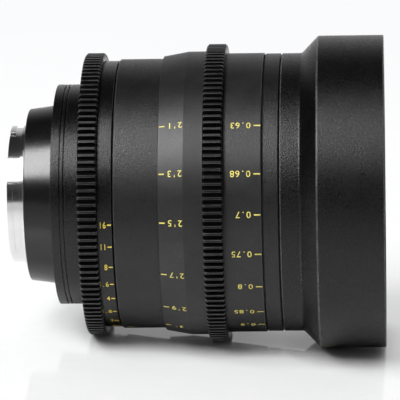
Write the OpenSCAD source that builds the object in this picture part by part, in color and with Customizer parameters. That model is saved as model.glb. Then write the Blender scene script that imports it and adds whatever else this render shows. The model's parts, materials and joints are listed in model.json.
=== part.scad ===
// Cinema prime lens: a fixed housing on a bayonet, a geared focus ring, a geared iris ring,
// and an optical block that slides inside the housing and carries the glass and the iris.
// The lens axis is +X, towards the front. The origin is the centre of the mount's flange face.

/* [Bayonet mount] */
// Radius of the bayonet's register, which centres the lens in a camera
register_r = 25.4; // [24.8:0.1:26.2]
// Length of the register
register_l = 1.7; // [1.2:0.1:2.2]
// Radius of the clear hole through the bayonet
throat_r = 22.6; // [22:0.1:23.2]
// Length of the bayonet behind the flange face
bayonet_l = 6.1; // [5.4:0.1:7]
// Thickness of the bayonet claws
claw_t = 2; // [1.6:0.1:2.4]
// Depth of the groove under the claws
claw_groove = 0.8; // [0.5:0.1:1.2]
// Angle that each claw spans
claw_angle = 66; // [50:1:70]
// Radius of the flange plate
plate_r = 29.6; // [28.8:0.1:30]
// Thickness of the flange plate
plate_t = 1.6; // [1.2:0.1:2]
// Thickness of the shim that sets the flange distance
shim_t = 0.15; // [0.1:0.05:0.3]

/* [Rear of the housing] */
// Distance that the flange plate stands proud of the rear cover
plate_proud = 0.3; // [0.2:0.05:0.5]
// Radius of the rear cover at the flange
cover_rear_r = 31.4; // [31:0.1:32.4]
// Radius of the rear cover where it meets the rear barrel
cover_front_r = 32.8; // [32.4:0.1:34.5]
// Length of the rear cover
cover_l = 10.7; // [9:0.1:11]
// Thickness of the ledge that holds the flange plate
ledge_t = 2.4; // [2:0.1:3]
// Radius of the rear barrel
step_r = 40.25; // [39.6:0.05:41]
// Length of the rear barrel that shows behind the iris ring
step_l = 10.5; // [9.5:0.1:13]
// Thickness of the rear barrel's back wall
back_wall_t = 2.5; // [2:0.1:3]

/* [Gear rings] */
// Gear module of both gear rings
gear_module = 0.8; // [0.79:0.005:0.81]
// Teeth on the iris gear
iris_teeth = 127; // [126:1:129]
// Teeth on the focus gear
focus_teeth = 134; // [133:1:137]
// Length of the iris gear
iris_gear_l = 6.8; // [6:0.1:7.6]
// Length of the focus gear
focus_gear_l = 7; // [6:0.1:8]
// Chamfer at the ends of the teeth
tooth_chamfer = 0.6; // [0.3:0.1:0.9]

/* [Iris ring] */
// Radius of the band that carries the iris scale
iris_band_r = 48.7; // [48.3:0.05:49.2]
// Length of the iris scale band
iris_band_l = 5.3; // [4.6:0.1:6]
// Thickness of the iris ring under its gear
iris_wall = 5.45; // [5.2:0.05:5.7]
// Turn of the iris ring from rest to fully open, in degrees
iris_open_turn = 10; // [6:1:12]
// Turn of the iris ring from rest to fully closed, in degrees
iris_close_turn = 66; // [60:1:70]

/* [Fixed barrel] */
// Radius of the fixed barrel
fixed_r = 49.25; // [49:0.05:50]
// Length of the fixed barrel
fixed_l = 15.8; // [14.5:0.1:17]
// Wall of the fixed barrel
fixed_wall = 2.45; // [2.2:0.05:2.6]
// Thickness of the fixed barrel's inner flange
fixed_flange_t = 3; // [2.6:0.1:3.4]

/* [Focus ring] */
// Radius of the focus ring at its rear edge
focus_rear_r = 50.15; // [49.8:0.05:50.6]
// Radius of the focus ring behind its gear
focus_mid_r = 51.75; // [51.4:0.05:52]
// Radius of the focus ring in front of its gear
focus_front_r = 50.95; // [50.6:0.05:51.2]
// Length of the cone at the rear of the focus ring
focus_cone_l = 9; // [8:0.1:10]
// Length of the cylinder behind the focus gear
focus_mid_l = 6.9; // [6:0.1:8]
// Length of the band in front of the focus gear
focus_front_l = 13.9; // [13:0.1:15]
// Wall of the focus ring at its front band
focus_wall = 4.95; // [4.7:0.05:5.1]
// Turn of the focus ring from rest to its nearest distance, in degrees
focus_near_turn = 125; // [115:1:130]
// Turn of the focus ring from rest to infinity, in degrees
focus_far_turn = 175; // [165:1:180]
// Travel of the optical block for one turn of the focus ring
helicoid_lead = 6.5; // [6:0.1:7]
// Wall of the helicoid sleeve inside the focus ring
sleeve_wall = 2.95; // [2.8:0.05:3.1]

/* [Front of the housing] */
// Radius of the index ring and of the front ring
index_r = 50.75; // [50.4:0.05:51]
// Length of the index ring
index_l = 5.5; // [5:0.1:6.2]
// Length of the straight front ring
front_ring_l = 7.2; // [6.5:0.1:8]
// Length of the cone between the front ring and the hood
front_cone_l = 6; // [5:0.1:7]
// Radius of the hood, the clamp diameter for accessories
hood_r = 57; // [56:0.1:58]
// Length of the hood
hood_l = 23.8; // [22:0.1:26]
// Wall of the hood at its front thread
hood_wall = 4.9; // [4:0.1:5.5]
// Length of the front thread
thread_l = 8; // [7:0.1:9]
// Thickness of the front barrel's back wall
front_wall_t = 3; // [2.6:0.1:3.4]

/* [Optical block] */
// Wall of the guide tube
guide_wall = 2.95; // [2.8:0.05:3.1]
// Wall of the optical barrel
barrel_wall = 2.5; // [2.3:0.1:2.6]
// Length of the optical barrel behind the web that carries the iris
barrel_rear_l = 13; // [12.6:0.1:14]
// Length of the optical barrel in front of that web
barrel_front_l = 21; // [20:0.5:22]
// Thickness of the web
web_t = 3; // [2.5:0.1:3.5]
// Distance from the rear edge of the focus ring to the web
web_offset = 14; // [13:0.1:15]
// Length of each drive key
key_l = 14; // [12:0.5:15]
// Width of each drive key
key_w = 8; // [7:0.5:9]

/* [Glass] */
// Radius of the front element
front_glass_r = 33; // [32:0.5:33.5]
// Radius of the second element
second_glass_r = 30; // [29:0.5:30.5]
// Radius of the front doublet
front_doublet_r = 25; // [24:0.5:26]
// Radius of the rear doublet and of the element behind it
rear_doublet_r = 24; // [23.5:0.5:24.5]
// Radius of the eighth element
eighth_glass_r = 23; // [22.5:0.1:23.2]
// Radius of the last doublet
last_doublet_r = 21.5; // [21:0.1:22]
// Wall of the front cell's nose
nose_wall = 4; // [3.5:0.1:4.5]
// Wall of the rear cell
cell_wall = 2.2; // [1.8:0.1:2.6]

/* [Iris] */
// Radius of the hole in the iris when it is open
iris_hole_r = 20.3; // [19.5:0.1:20.6]
// Radius of the circle of blade pivots
pivot_r = 30; // [29.7:0.1:30.4]
// Turn of a blade for each degree of the iris ring
blade_ratio = 0.478; // [0.46:0.001:0.485]
// Thickness of a blade
blade_t = 0.12; // [0.08:0.01:0.14]
// Width of a blade's curved band
blade_w = 7.7; // [7:0.1:7.8]

/* [Clearances] */
// Radial clearance of parts that turn or slide on each other
run_gap = 0.05; // [0.03:0.01:0.08]
// Radial clearance of parts that are fixed together
seat_gap = 0.02; // [0.01:0.01:0.04]
// Gap along the axis between a turning ring and its fixed neighbour
ring_gap = 0.3; // [0.25:0.05:0.5]
// Space left at the ends of slots and stops
end_gap = 0.3; // [0.2:0.05:0.5]

/* [Hidden] */
$fn = 144;
small_fn = 32;

// Stations along the lens axis
x_cover = plate_proud;
x_step = x_cover + cover_l;
x_iris = x_step + step_l;
x_iris_band = x_iris + iris_gear_l;
x_iris_end = x_iris_band + iris_band_l;
x_fixed = x_iris_end + ring_gap;
x_fixed_end = x_fixed + fixed_l;
x_focus = x_fixed_end + ring_gap;
x_focus_mid = x_focus + focus_cone_l;
x_focus_gear = x_focus_mid + focus_mid_l;
x_focus_band = x_focus_gear + focus_gear_l;
x_focus_end = x_focus_band + focus_front_l;
x_index = x_focus_end + ring_gap;
x_index_end = x_index + index_l;
front_groove = 0.4;
x_front = x_index_end + front_groove;
x_front_cone = x_front + front_ring_l;
x_hood = x_front_cone + front_cone_l;
x_rim = x_hood + hood_l;
thread_r = hood_r - hood_wall;

// Radii from the focus ring inwards to the optical block
focus_bore_r = focus_front_r - focus_wall;
sleeve_r = focus_bore_r - seat_gap;
sleeve_bore_r = sleeve_r - sleeve_wall;
guide_r = sleeve_bore_r - run_gap;
guide_bore_r = guide_r - guide_wall;
barrel_r = guide_bore_r - run_gap;
barrel_bore_r = barrel_r - barrel_wall;
unit_r = barrel_bore_r - seat_gap;

// Radii from the iris ring inwards to the rear barrel's sleeve
iris_seat_r = iris_band_r - 1.2;
iris_bore_r = iris_seat_r - iris_wall;
rear_sleeve_r = iris_bore_r - run_gap;
rear_bore_r = rear_sleeve_r - 4.1;
iris_lip_t = 1.6;
iris_lip_r = rear_sleeve_r + 2;
x_iris_lip = x_iris + 0.2;
x_rear_sleeve = x_iris_lip + iris_lip_t;

// Travel of the optical block on each side of rest
near_travel = helicoid_lead * focus_near_turn / 360;
far_travel = helicoid_lead * focus_far_turn / 360;

// Angles about the axis: 0 points down and 270 points at the side with the scales
key_angles = [30, 150, 270];
drive_angle = 100;
iris_stop_angle = 215;
focus_stop_angle = 300;

// Screw sizes: shank radius, head radius and head height
m2_shank_r = 1;
m2_head_r = 1.75;
m2_head_h = 1.1;
m2 = [m2_shank_r, m2_head_r, m2_head_h];
m16_shank_r = 0.8;
m16_head_r = 1.45;
m16_head_h = 0.8;
m16 = [m16_shank_r, m16_head_r, m16_head_h];
grub_r = 1.25;
screw_bite = 4;
head_gap = 0.1;

// Stations of the iris unit, from the web to the rear
cage_t = 1.6;
cage_wall = 1.65;
actuator_t = 1.8;
groove_depth = 1;
cover_plate_t = 0.8;
cell_flange_t = 2.6;
lock_ring_t = 1.15;
layer_gap = 0.06;
blade_count = 11;
blade_step = 360 / blade_count;
layer_pitch = blade_t + layer_gap;
plate_gap = 0.1;
x_web = x_focus + web_offset;
x_web_front = x_web + web_t;
x_cage = x_web - cage_t;
x_blades = x_cage - plate_gap;
x_actuator = x_blades - blade_count * layer_pitch - plate_gap;
x_cover_plate = x_actuator - actuator_t - plate_gap;
x_cell_front = x_cover_plate - cover_plate_t;
x_lock = x_cell_front - cell_flange_t;
x_barrel_rear = x_web - barrel_rear_l;
x_barrel_front = x_web_front + barrel_front_l;
cage_bore_r = unit_r - cage_wall;
actuator_r = cage_bore_r - run_gap;

// Blades: the driven pin sits on a short tail behind the pivot
pivot_pin_r = 0.6;
driven_pin_r = 0.5;
tail_l = 7;
tail_angle = -100;
tail_w = 2.2;
boss_r = 1.6;
blade_inner_r = iris_hole_r + 0.5;
blade_outer_r = blade_inner_r + blade_w;
blade_span = 100;
blade_rest = blade_ratio * iris_open_turn;
groove_gap = 0.1;
groove_steps = 24;

// The actuator's finger, which the drive pin of the iris ring turns
finger_t = 1.5;
finger_inset = 0.15;
finger_r = actuator_r - finger_inset;
finger_bore_r = finger_r - finger_t;
finger_half_angle = 6;
finger_end_gap = 5;
drive_pin_r = 1.5;
x_drive_pin = x_rear_sleeve + 3.6;
x_finger = x_drive_pin - finger_end_gap;
window_gap = 0.3;

// Glass: centre thickness and the radius of each ground face
cement = 0.02;
bearing_gap = 0.02;
air = 0.6;
front_glass_t = 9;
front_glass_face = 85;
second_glass_t = 9;
second_glass_front = 52;
second_glass_back = 95;
third_glass_t = 9;
third_glass_face = 48;
fourth_glass_t = 2.2;
fourth_glass_back = 32;
fourth_hollow_r = 20;
fifth_glass_t = 2.2;
fifth_glass_front = 33;
fifth_hollow_r = 19.5;
sixth_glass_t = 10;
sixth_glass_back = 40;
seventh_glass_t = 10;
seventh_glass_face = 70;
eighth_glass_t = 6.5;
eighth_glass_face = 60;
ninth_glass_t = 5.5;
ninth_glass_face = 80;
tenth_glass_t = 2;
tenth_glass_back = 60;
tenth_hollow_r = 19;

// Sagitta of a ground face of radius f out to the radius r
function sag(f, r) = f - sqrt(f * f - r * r);

// Stations of the front glass, from the front cell's rear lip forwards
lip_t = 1;
x_fourth_edge = x_web_front + lip_t;
x_fourth_back = x_fourth_edge + sag(fourth_glass_back, fourth_hollow_r);
x_third_back = x_fourth_back + fourth_glass_t + cement;
x_third_front = x_third_back + third_glass_t;
x_second_back = x_third_front + air;
x_second_seat = x_second_back - sag(second_glass_back, second_glass_r);
x_second_front = x_second_back + second_glass_t;
x_first_back = x_second_front + air;
x_first_front = x_first_back + front_glass_t;
x_first_edge = x_first_front - sag(front_glass_face, front_glass_r);
nose_l = 4;
x_nose = x_first_edge + nose_l;
nose_r = front_glass_r + nose_wall;

// Stations of the rear glass, from the rear cell's lip forwards, measured from that lip
s_tenth_back = sag(tenth_glass_back, tenth_hollow_r);
s_ninth_back = s_tenth_back + tenth_glass_t + cement;
s_ninth_front = s_ninth_back + ninth_glass_t;
s_eighth_back = s_ninth_front + air;
s_eighth_front = s_eighth_back + eighth_glass_t;
s_seventh_back = s_eighth_front + air;
s_seventh_seat = s_seventh_back + sag(seventh_glass_face, eighth_glass_r + seat_gap) - bearing_gap;
s_seventh_front = s_seventh_back + seventh_glass_t;
s_sixth_back = s_seventh_front + air;
s_sixth_front = s_sixth_back + sixth_glass_t;
s_fifth_back = s_sixth_front + cement;
s_fifth_edge = s_fifth_back + fifth_glass_t + sag(fifth_glass_front, fifth_hollow_r);
retaining_l = 2.6;
x_rear_lip = x_cell_front - retaining_l - s_fifth_edge;
x_cell_rear = x_rear_lip - lip_t;
cell_front_r = rear_doublet_r + 2 * cell_wall;
cell_mid_r = rear_doublet_r + cell_wall;
cell_rear_r = eighth_glass_r + cell_wall;

// Turns a shape that stands on +Z so that it lies along the lens axis
module along_axis() {
    rotate([0, 90, 0]) children();
}

// A turned piece: each profile point is a radius and a station along the axis
module turned(profile) {
    along_axis() rotate_extrude() polygon(profile);
}

// A plain ring between two stations
module ring(x0, x1, outer_r, inner_r) {
    turned([[inner_r, x0], [outer_r, x0], [outer_r, x1], [inner_r, x1]]);
}

// A part of a ring between two angles
module sector(x0, x1, outer_r, inner_r, start, end) {
    along_axis()
        rotate([0, 0, start])
            rotate_extrude(angle = end - start)
                polygon([[inner_r, x0], [outer_r, x0], [outer_r, x1], [inner_r, x1]]);
}

// Copies of a shape on a circle about the lens axis, each standing along the axis
module around(count, r, start = 0) {
    along_axis()
        for (i = [0 : count - 1])
            rotate([0, 0, start + 360 * i / count]) translate([r, 0, 0]) children();
}

// A shape whose +Z points away from the axis, at one station and angle
module outward(x, angle) {
    along_axis() rotate([0, 0, angle]) translate([0, 0, x]) rotate([0, 90, 0]) children();
}

// A pin or a hole between two radii
module radial_pin(x, angle, r, from, to) {
    outward(x, angle) translate([0, 0, from]) cylinder(r = r, h = to - from, $fn = small_fn);
}

// A pan-head screw: its head rises from z = 0 and its shank goes down
module pan_screw(size, shank_l) {
    difference() {
        union() {
            translate([0, 0, -shank_l]) cylinder(r = size[0], h = shank_l + 0.01, $fn = small_fn);
            cylinder(r = size[1], h = size[2], $fn = small_fn);
        }
        translate([0, 0, size[2] / 2]) cylinder(r = size[0] * 0.8, h = size[2], $fn = 6);
    }
}

// A countersunk screw: its head is flush at z = 0 and its shank goes down
module flat_screw(size, shank_l) {
    difference() {
        union() {
            translate([0, 0, -shank_l]) cylinder(r = size[0], h = shank_l, $fn = small_fn);
            translate([0, 0, -size[2]]) cylinder(r1 = size[0], r2 = size[1], h = size[2], $fn = small_fn);
        }
        translate([0, 0, -size[2] / 2]) cylinder(r = size[0] * 0.7, h = size[2], $fn = 6);
    }
}

// The hole that a countersunk screw sits in
module flat_screw_hole(size, shank_l) {
    shank_hole(size, shank_l);
    translate([0, 0, -size[2] - seat_gap])
        cylinder(r1 = size[0] + seat_gap, r2 = size[1] + seat_gap, h = size[2] + seat_gap, $fn = small_fn);
    cylinder(r = size[1] + seat_gap, h = 1, $fn = small_fn);
}

// The hole that a screw's shank sits in, from z = 0 down, with a little past its mouth
module shank_hole(size, shank_l) {
    translate([0, 0, -shank_l - seat_gap])
        cylinder(r = size[0] + seat_gap, h = shank_l + 1, $fn = small_fn);
}

// A gear ring with straight teeth, chamfered at both ends
tooth_root_half = 0.395;
tooth_tip_half = 0.14;
function gear_tip_r(teeth) = gear_module * (teeth + 2) / 2;
function gear_root_r(teeth) = gear_module * (teeth - 2.5) / 2;
function tooth_corner(r, turn) = [r * cos(turn), r * sin(turn)];
function gear_outline(teeth) = [
    for (k = [0 : teeth - 1])
        let (step = 360 / teeth)
            each [
                tooth_corner(gear_root_r(teeth), (k - tooth_root_half) * step),
                tooth_corner(gear_tip_r(teeth), (k - tooth_tip_half) * step),
                tooth_corner(gear_tip_r(teeth), (k + tooth_tip_half) * step),
                tooth_corner(gear_root_r(teeth), (k + tooth_root_half) * step)
            ]
];
module gear_ring(teeth, x0, length, bore_r) {
    tip_r = gear_tip_r(teeth);
    x1 = x0 + length;
    intersection() {
        along_axis() translate([0, 0, x0]) linear_extrude(length) polygon(gear_outline(teeth));
        turned([
            [bore_r, x0], [tip_r - tooth_chamfer, x0], [tip_r + 1, x0 + tooth_chamfer + 1],
            [tip_r + 1, x1 - tooth_chamfer - 1], [tip_r - tooth_chamfer, x1], [bore_r, x1]
        ]);
    }
}

// Bayonet mount

mount_screw_r = (register_r + plate_r) / 2;
mount_screw_l = plate_t + shim_t + ledge_t - 0.4;
mount_screw_start = 45;
claw_angles = [41, 161, 281];
claw_inset = 0.1;
claw_root = 0.5;
baffle_t = 1.4;

module bayonet_mount() color("silver") {
    neck_r = register_r - claw_groove;
    difference() {
        union() {
            turned([
                [throat_r, -bayonet_l], [neck_r, -bayonet_l], [neck_r, -register_l],
                [register_r, -register_l], [register_r, 0], [plate_r, 0], [plate_r, plate_t],
                [throat_r, plate_t]
            ]);
            for (angle = claw_angles)
                sector(-bayonet_l, claw_t - bayonet_l, register_r - claw_inset, neck_r - claw_root,
                    angle - claw_angle / 2, angle + claw_angle / 2);
        }
        around(4, mount_screw_r, mount_screw_start)
            mirror([0, 0, 1]) flat_screw_hole(m16, plate_t + 1);
    }
}

module mount_screws() color("lightgray") {
    around(4, mount_screw_r, mount_screw_start)
        mirror([0, 0, 1]) flat_screw(m16, mount_screw_l);
}

module mount_shim() color("gold") {
    difference() {
        ring(plate_t, plate_t + shim_t, plate_r - 0.2, register_r + 0.3);
        around(4, mount_screw_r, mount_screw_start)
            translate([0, 0, plate_t - 1]) cylinder(r = m16[0] + 0.2, h = shim_t + 2, $fn = small_fn);
    }
}

module rear_baffle() color("black") {
    outer_r = throat_r - seat_gap;
    turned([
        [outer_r - baffle_t, 0.4 - bayonet_l], [outer_r, 0.4 - bayonet_l], [outer_r, plate_t],
        [outer_r - 0.6, plate_t]
    ]);
}

// Rear cover and rear barrel

x_ledge = plate_t + shim_t;
ledge_bore_r = cell_rear_r + 0.4;
cover_bore_r = cover_rear_r - 3;
cover_screw_r = cover_front_r - 2.1;
cover_screw_l = back_wall_t + screw_bite;
cover_screw_start = 0;

module rear_cover() color("dimgray") {
    plate_seat_r = plate_r + seat_gap;
    difference() {
        turned([
            [plate_seat_r, x_cover], [cover_rear_r - 0.3, x_cover], [cover_rear_r, x_cover + 0.3],
            [cover_front_r, x_step], [cover_bore_r, x_step], [cover_bore_r, x_ledge + ledge_t],
            [ledge_bore_r, x_ledge + ledge_t], [ledge_bore_r, x_ledge], [plate_seat_r, x_ledge]
        ]);
        around(4, mount_screw_r, mount_screw_start)
            mirror([0, 0, 1]) shank_hole(m16, mount_screw_l);
        around(4, cover_screw_r, cover_screw_start)
            translate([0, 0, x_step + back_wall_t]) shank_hole(m2, cover_screw_l);
    }
}

module rear_cover_screws() color("gray") {
    around(4, cover_screw_r, cover_screw_start)
        translate([0, 0, x_step + back_wall_t]) pan_screw(m2, cover_screw_l);
}

groove_w = 0.5;
groove_d = 0.6;
first_groove = 3;
second_groove = 4.45;
fixed_screw_r = (rear_sleeve_r + rear_bore_r) / 2;
fixed_screw_l = fixed_flange_t + screw_bite + 1;
fixed_screw_start = 15;
iris_sweep = iris_open_turn + iris_close_turn;
drive_slot_spare = 4;

module rear_barrel() color("dimgray") {
    difference() {
        turned([
            [ledge_bore_r + 1.4, x_step], [step_r - 0.4, x_step], [step_r, x_step + 0.4],
            [step_r, x_iris_lip], [iris_lip_r, x_iris_lip], [iris_lip_r, x_rear_sleeve],
            [rear_sleeve_r, x_rear_sleeve], [rear_sleeve_r, x_fixed], [rear_bore_r, x_fixed],
            [rear_bore_r, x_step + back_wall_t], [ledge_bore_r + 1.4, x_step + back_wall_t]
        ]);
        for (groove = [first_groove, second_groove])
            ring(x_step + groove, x_step + groove + groove_w, step_r + 1, step_r - groove_d);
        around(4, cover_screw_r, cover_screw_start)
            translate([0, 0, x_step + back_wall_t]) shank_hole(m2, cover_screw_l);
        around(6, fixed_screw_r, fixed_screw_start)
            translate([0, 0, x_fixed + fixed_flange_t]) shank_hole(m2, fixed_screw_l);
        sector(x_drive_pin - drive_pin_r - end_gap, x_drive_pin + drive_pin_r + end_gap,
            rear_sleeve_r + 1, rear_bore_r - 1,
            drive_angle - iris_open_turn - drive_slot_spare,
            drive_angle + iris_close_turn + drive_slot_spare);
        radial_pin(x_iris_stop, iris_stop_angle, iris_stop_r + seat_gap,
            rear_bore_r - 1, rear_sleeve_r + 1);
    }
}

// The iris ring's stop: a pin in the rear barrel that runs in an arc inside the ring

iris_stop_r = 1;
x_iris_stop = x_iris_end - 2.2;
iris_stop_depth = 1.3;
iris_stop_half = asin((iris_stop_r + end_gap) / rear_sleeve_r);

module iris_stop_pin() color("gray") {
    radial_pin(x_iris_stop, iris_stop_angle, iris_stop_r,
        rear_bore_r + 0.1, iris_bore_r + iris_stop_depth - end_gap);
}

// Fixed barrel and guide tube

foot_t = 2.5;
stop_ring_l = 2.8;
stop_ring_step = 0.8;
x_foot = x_fixed + fixed_flange_t;
x_guide = x_foot + foot_t;
x_stop_ring = x_fixed_end - stop_ring_l;
foot_r = fixed_r - fixed_wall - stop_ring_step - seat_gap;
foot_screw_r = (guide_r + foot_r) / 2;
foot_screw_l = foot_t + fixed_flange_t - 0.6;
foot_screw_start = 0;
edge_chamfer = 0.25;

module fixed_barrel() color("dimgray") {
    inner_r = fixed_r - fixed_wall;
    shoulder_r = inner_r - stop_ring_step;
    difference() {
        turned([
            [rear_bore_r, x_fixed], [fixed_r - edge_chamfer, x_fixed], [fixed_r, x_fixed + edge_chamfer],
            [fixed_r, x_fixed_end - edge_chamfer], [fixed_r - edge_chamfer, x_fixed_end],
            [inner_r, x_fixed_end], [inner_r, x_stop_ring], [shoulder_r, x_stop_ring],
            [shoulder_r, x_foot], [rear_bore_r, x_foot]
        ]);
        around(6, fixed_screw_r, fixed_screw_start)
            translate([0, 0, x_foot]) flat_screw_hole(m2, fixed_screw_l);
        around(6, foot_screw_r, foot_screw_start)
            translate([0, 0, x_guide]) shank_hole(m16, foot_screw_l);
    }
}

module fixed_barrel_screws() color("gray") {
    around(6, fixed_screw_r, fixed_screw_start)
        translate([0, 0, x_foot]) flat_screw(m2, fixed_screw_l);
}

key_offset = 5;
x_key = x_web_front + key_offset;
index_screw_angles = [35, 90, 145];
x_index_screw = x_index + index_l / 2;

module guide_tube() color("silver") {
    difference() {
        turned([
            [guide_bore_r, x_foot], [foot_r, x_foot], [foot_r, x_guide], [guide_r, x_guide],
            [guide_r, x_index_end], [guide_bore_r, x_index_end]
        ]);
        for (angle = key_angles)
            outward(x_key, angle)
                translate([-key_l - near_travel - end_gap, -key_w / 2, guide_bore_r - 3])
                    cube([key_l + near_travel + far_travel + 2 * end_gap, key_w, guide_wall + 6]);
        around(6, foot_screw_r, foot_screw_start)
            translate([0, 0, x_guide]) shank_hole(m16, foot_screw_l);
        for (angle = index_screw_angles)
            radial_pin(x_index_screw, angle, grub_r + seat_gap, guide_r - 1, guide_r + 1);
    }
}

module guide_tube_screws() color("gray") {
    around(6, foot_screw_r, foot_screw_start)
        translate([0, 0, x_guide]) pan_screw(m16, foot_screw_l);
}

// The focus stop: an arc in a ring inside the fixed barrel, and a pin in the helicoid sleeve

focus_stop_r = 0.9;
stop_circle_r = (sleeve_bore_r + sleeve_r) / 2;
stop_arc_depth = 2;
stop_pin_reach = 1.6;
stop_pin_hold = 3;
stop_pin_half = asin((focus_stop_r + end_gap) / stop_circle_r);
sleeve_inset = 0.2;
x_sleeve = x_focus + sleeve_inset;
x_stop_face = x_fixed_end - sleeve_inset;

module focus_stop_ring() color("gray") {
    difference() {
        ring(x_stop_ring, x_stop_face, fixed_r - fixed_wall - seat_gap, guide_r + run_gap);
        sector(x_stop_face - stop_arc_depth, x_stop_face + 1,
            stop_circle_r + focus_stop_r + end_gap / 2, stop_circle_r - focus_stop_r - end_gap / 2,
            focus_stop_angle - focus_far_turn - stop_pin_half,
            focus_stop_angle + focus_near_turn + stop_pin_half);
    }
}

module focus_stop_pin() color("gray") {
    pin_l = x_sleeve - x_stop_face + stop_pin_reach + stop_pin_hold;
    along_axis()
        rotate([0, 0, focus_stop_angle])
            translate([stop_circle_r, 0, x_stop_face - stop_pin_reach])
                cylinder(r = focus_stop_r, h = pin_l, $fn = small_fn);
}

washer_t = 0.24;
washer_inset = 1.2;

module thrust_washers() color("ivory") {
    ring(x_fixed_end, x_fixed_end + washer_t, fixed_r - washer_inset, fixed_r - fixed_wall + 0.1);
    ring(x_index - washer_t, x_index, focus_front_r - washer_inset, focus_bore_r + 0.3);
}

// Index ring, front barrel and hood

front_shell_t = 4.2;
front_inner_r = index_r - front_shell_t;
front_screw_r = front_inner_r - m2_head_r - head_gap;
front_screw_l = front_wall_t + screw_bite;
front_screw_start = 0;
front_bore_r = barrel_r + 0.55;
relief_d = 0.9;
relief_l = 1;
relief_r = thread_r + relief_d;
baffle_seat_l = 9;
baffle_bore_r = thread_r - 1;
x_thread = x_rim - thread_l;
x_relief = x_thread - relief_l;
rim_chamfer = 0.4;

module index_ring() color("dimgray") {
    difference() {
        turned([
            [guide_r + seat_gap, x_index], [index_r - edge_chamfer, x_index],
            [index_r, x_index + edge_chamfer], [index_r, x_index_end - edge_chamfer],
            [index_r - edge_chamfer, x_index_end], [guide_r + seat_gap, x_index_end]
        ]);
        for (angle = index_screw_angles)
            radial_pin(x_index_screw, angle, grub_r + seat_gap, guide_r - 1, index_r + 1);
        around(6, front_screw_r, front_screw_start)
            translate([0, 0, x_index_end + front_wall_t]) shank_hole(m2, front_screw_l);
    }
}

module index_ring_screws() color("gray") {
    for (angle = index_screw_angles)
        difference() {
            radial_pin(x_index_screw, angle, grub_r, guide_r - 0.9, index_r - 0.5);
            outward(x_index_screw, angle)
                translate([0, 0, index_r - 1.7]) cylinder(r = grub_r * 0.6, h = 2, $fn = 6);
        }
}

module front_barrel() color("#222222") {
    wall_front = x_index_end + front_wall_t;
    spigot_r = index_r - 2.7;
    difference() {
        turned([
            [front_bore_r, x_index_end], [spigot_r, x_index_end], [spigot_r, x_front],
            [index_r - rim_chamfer, x_front], [index_r, x_front + rim_chamfer], [index_r, x_front_cone],
            [hood_r, x_hood], [hood_r, x_rim - rim_chamfer], [hood_r - rim_chamfer, x_rim],
            [thread_r, x_rim], [thread_r, x_thread], [relief_r, x_thread], [relief_r, x_relief],
            [baffle_bore_r, x_relief], [baffle_bore_r, x_hood + 2], [front_inner_r, x_front_cone],
            [front_inner_r, wall_front], [front_bore_r, wall_front]
        ]);
        around(6, front_screw_r, front_screw_start)
            translate([0, 0, wall_front]) shank_hole(m2, front_screw_l);
    }
}

module front_barrel_screws() color("gray") {
    around(6, front_screw_r, front_screw_start)
        translate([0, 0, x_index_end + front_wall_t]) pan_screw(m2, front_screw_l);
}

// A funnel of steps that keeps stray light off the front glass
baffle_steps = 6;
baffle_front_r = baffle_bore_r - 1.2;
baffle_rear_r = nose_r + 2.5;
x_baffle_rear = x_hood + 1;
module hood_baffle() color("black") {
    seat_r = baffle_bore_r - seat_gap;
    x_seat = x_relief - baffle_seat_l;
    step_x = (x_relief - x_baffle_rear) / baffle_steps;
    step_h = (baffle_front_r - baffle_rear_r) / baffle_steps;
    inner = [
        for (i = [0 : baffle_steps - 1])
            each [
                [baffle_front_r - i * step_h, x_relief - i * step_x],
                [baffle_front_r - (i + 1) * step_h, x_relief - i * step_x - 0.4],
                [baffle_front_r - i * step_h - 0.2, x_relief - (i + 1) * step_x]
            ]
    ];
    turned(concat(
        [[seat_r, x_relief]], inner,
        [[baffle_rear_r + step_h + 1.6, x_baffle_rear], [seat_r, x_seat]]
    ));
}

// Iris ring and its gear

module iris_ring() color("dimgray") {
    x_floor = x_rear_sleeve + ring_gap;
    counterbore_r = iris_lip_r + 0.3;
    difference() {
        turned([
            [counterbore_r, x_iris], [iris_seat_r, x_iris], [iris_seat_r, x_iris_band],
            [iris_band_r - edge_chamfer, x_iris_band], [iris_band_r, x_iris_band + edge_chamfer],
            [iris_band_r, x_iris_end - edge_chamfer], [iris_band_r - edge_chamfer, x_iris_end],
            [iris_bore_r, x_iris_end], [iris_bore_r, x_floor], [counterbore_r, x_floor]
        ]);
        radial_pin(x_drive_pin, drive_angle, drive_pin_r + seat_gap, iris_bore_r - 1, iris_seat_r + 1);
        sector(x_iris_stop - iris_stop_r - end_gap, x_iris_stop + iris_stop_r + end_gap,
            iris_bore_r + iris_stop_depth, iris_bore_r - 1,
            iris_stop_angle - iris_close_turn - iris_stop_half,
            iris_stop_angle + iris_open_turn + iris_stop_half);
    }
}

module iris_gear() color("#1a1a1a") {
    gear_ring(iris_teeth, x_iris, iris_gear_l, iris_seat_r + seat_gap);
}

module iris_drive_pin() color("gray") {
    radial_pin(x_drive_pin, drive_angle, drive_pin_r, finger_bore_r - 0.6, iris_seat_r - 0.1);
}

// Focus ring, its gear and its helicoid sleeve

helicoid_screw_angles = [0, 120, 240];
x_helicoid_screw = x_focus_gear + focus_gear_l / 2;

module focus_ring() color("dimgray") {
    difference() {
        turned([
            [focus_bore_r, x_focus], [focus_rear_r - edge_chamfer, x_focus],
            [focus_rear_r, x_focus + edge_chamfer], [focus_mid_r, x_focus_mid],
            [focus_mid_r, x_focus_gear], [focus_front_r, x_focus_gear],
            [focus_front_r, x_focus_end - edge_chamfer], [focus_front_r - edge_chamfer, x_focus_end],
            [focus_bore_r, x_focus_end]
        ]);
        for (angle = helicoid_screw_angles)
            radial_pin(x_helicoid_screw, angle, grub_r + seat_gap, focus_bore_r - 1, focus_front_r + 1);
    }
}

module focus_gear() color("#1a1a1a") {
    gear_ring(focus_teeth, x_focus_gear, focus_gear_l, focus_front_r + seat_gap);
}

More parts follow.
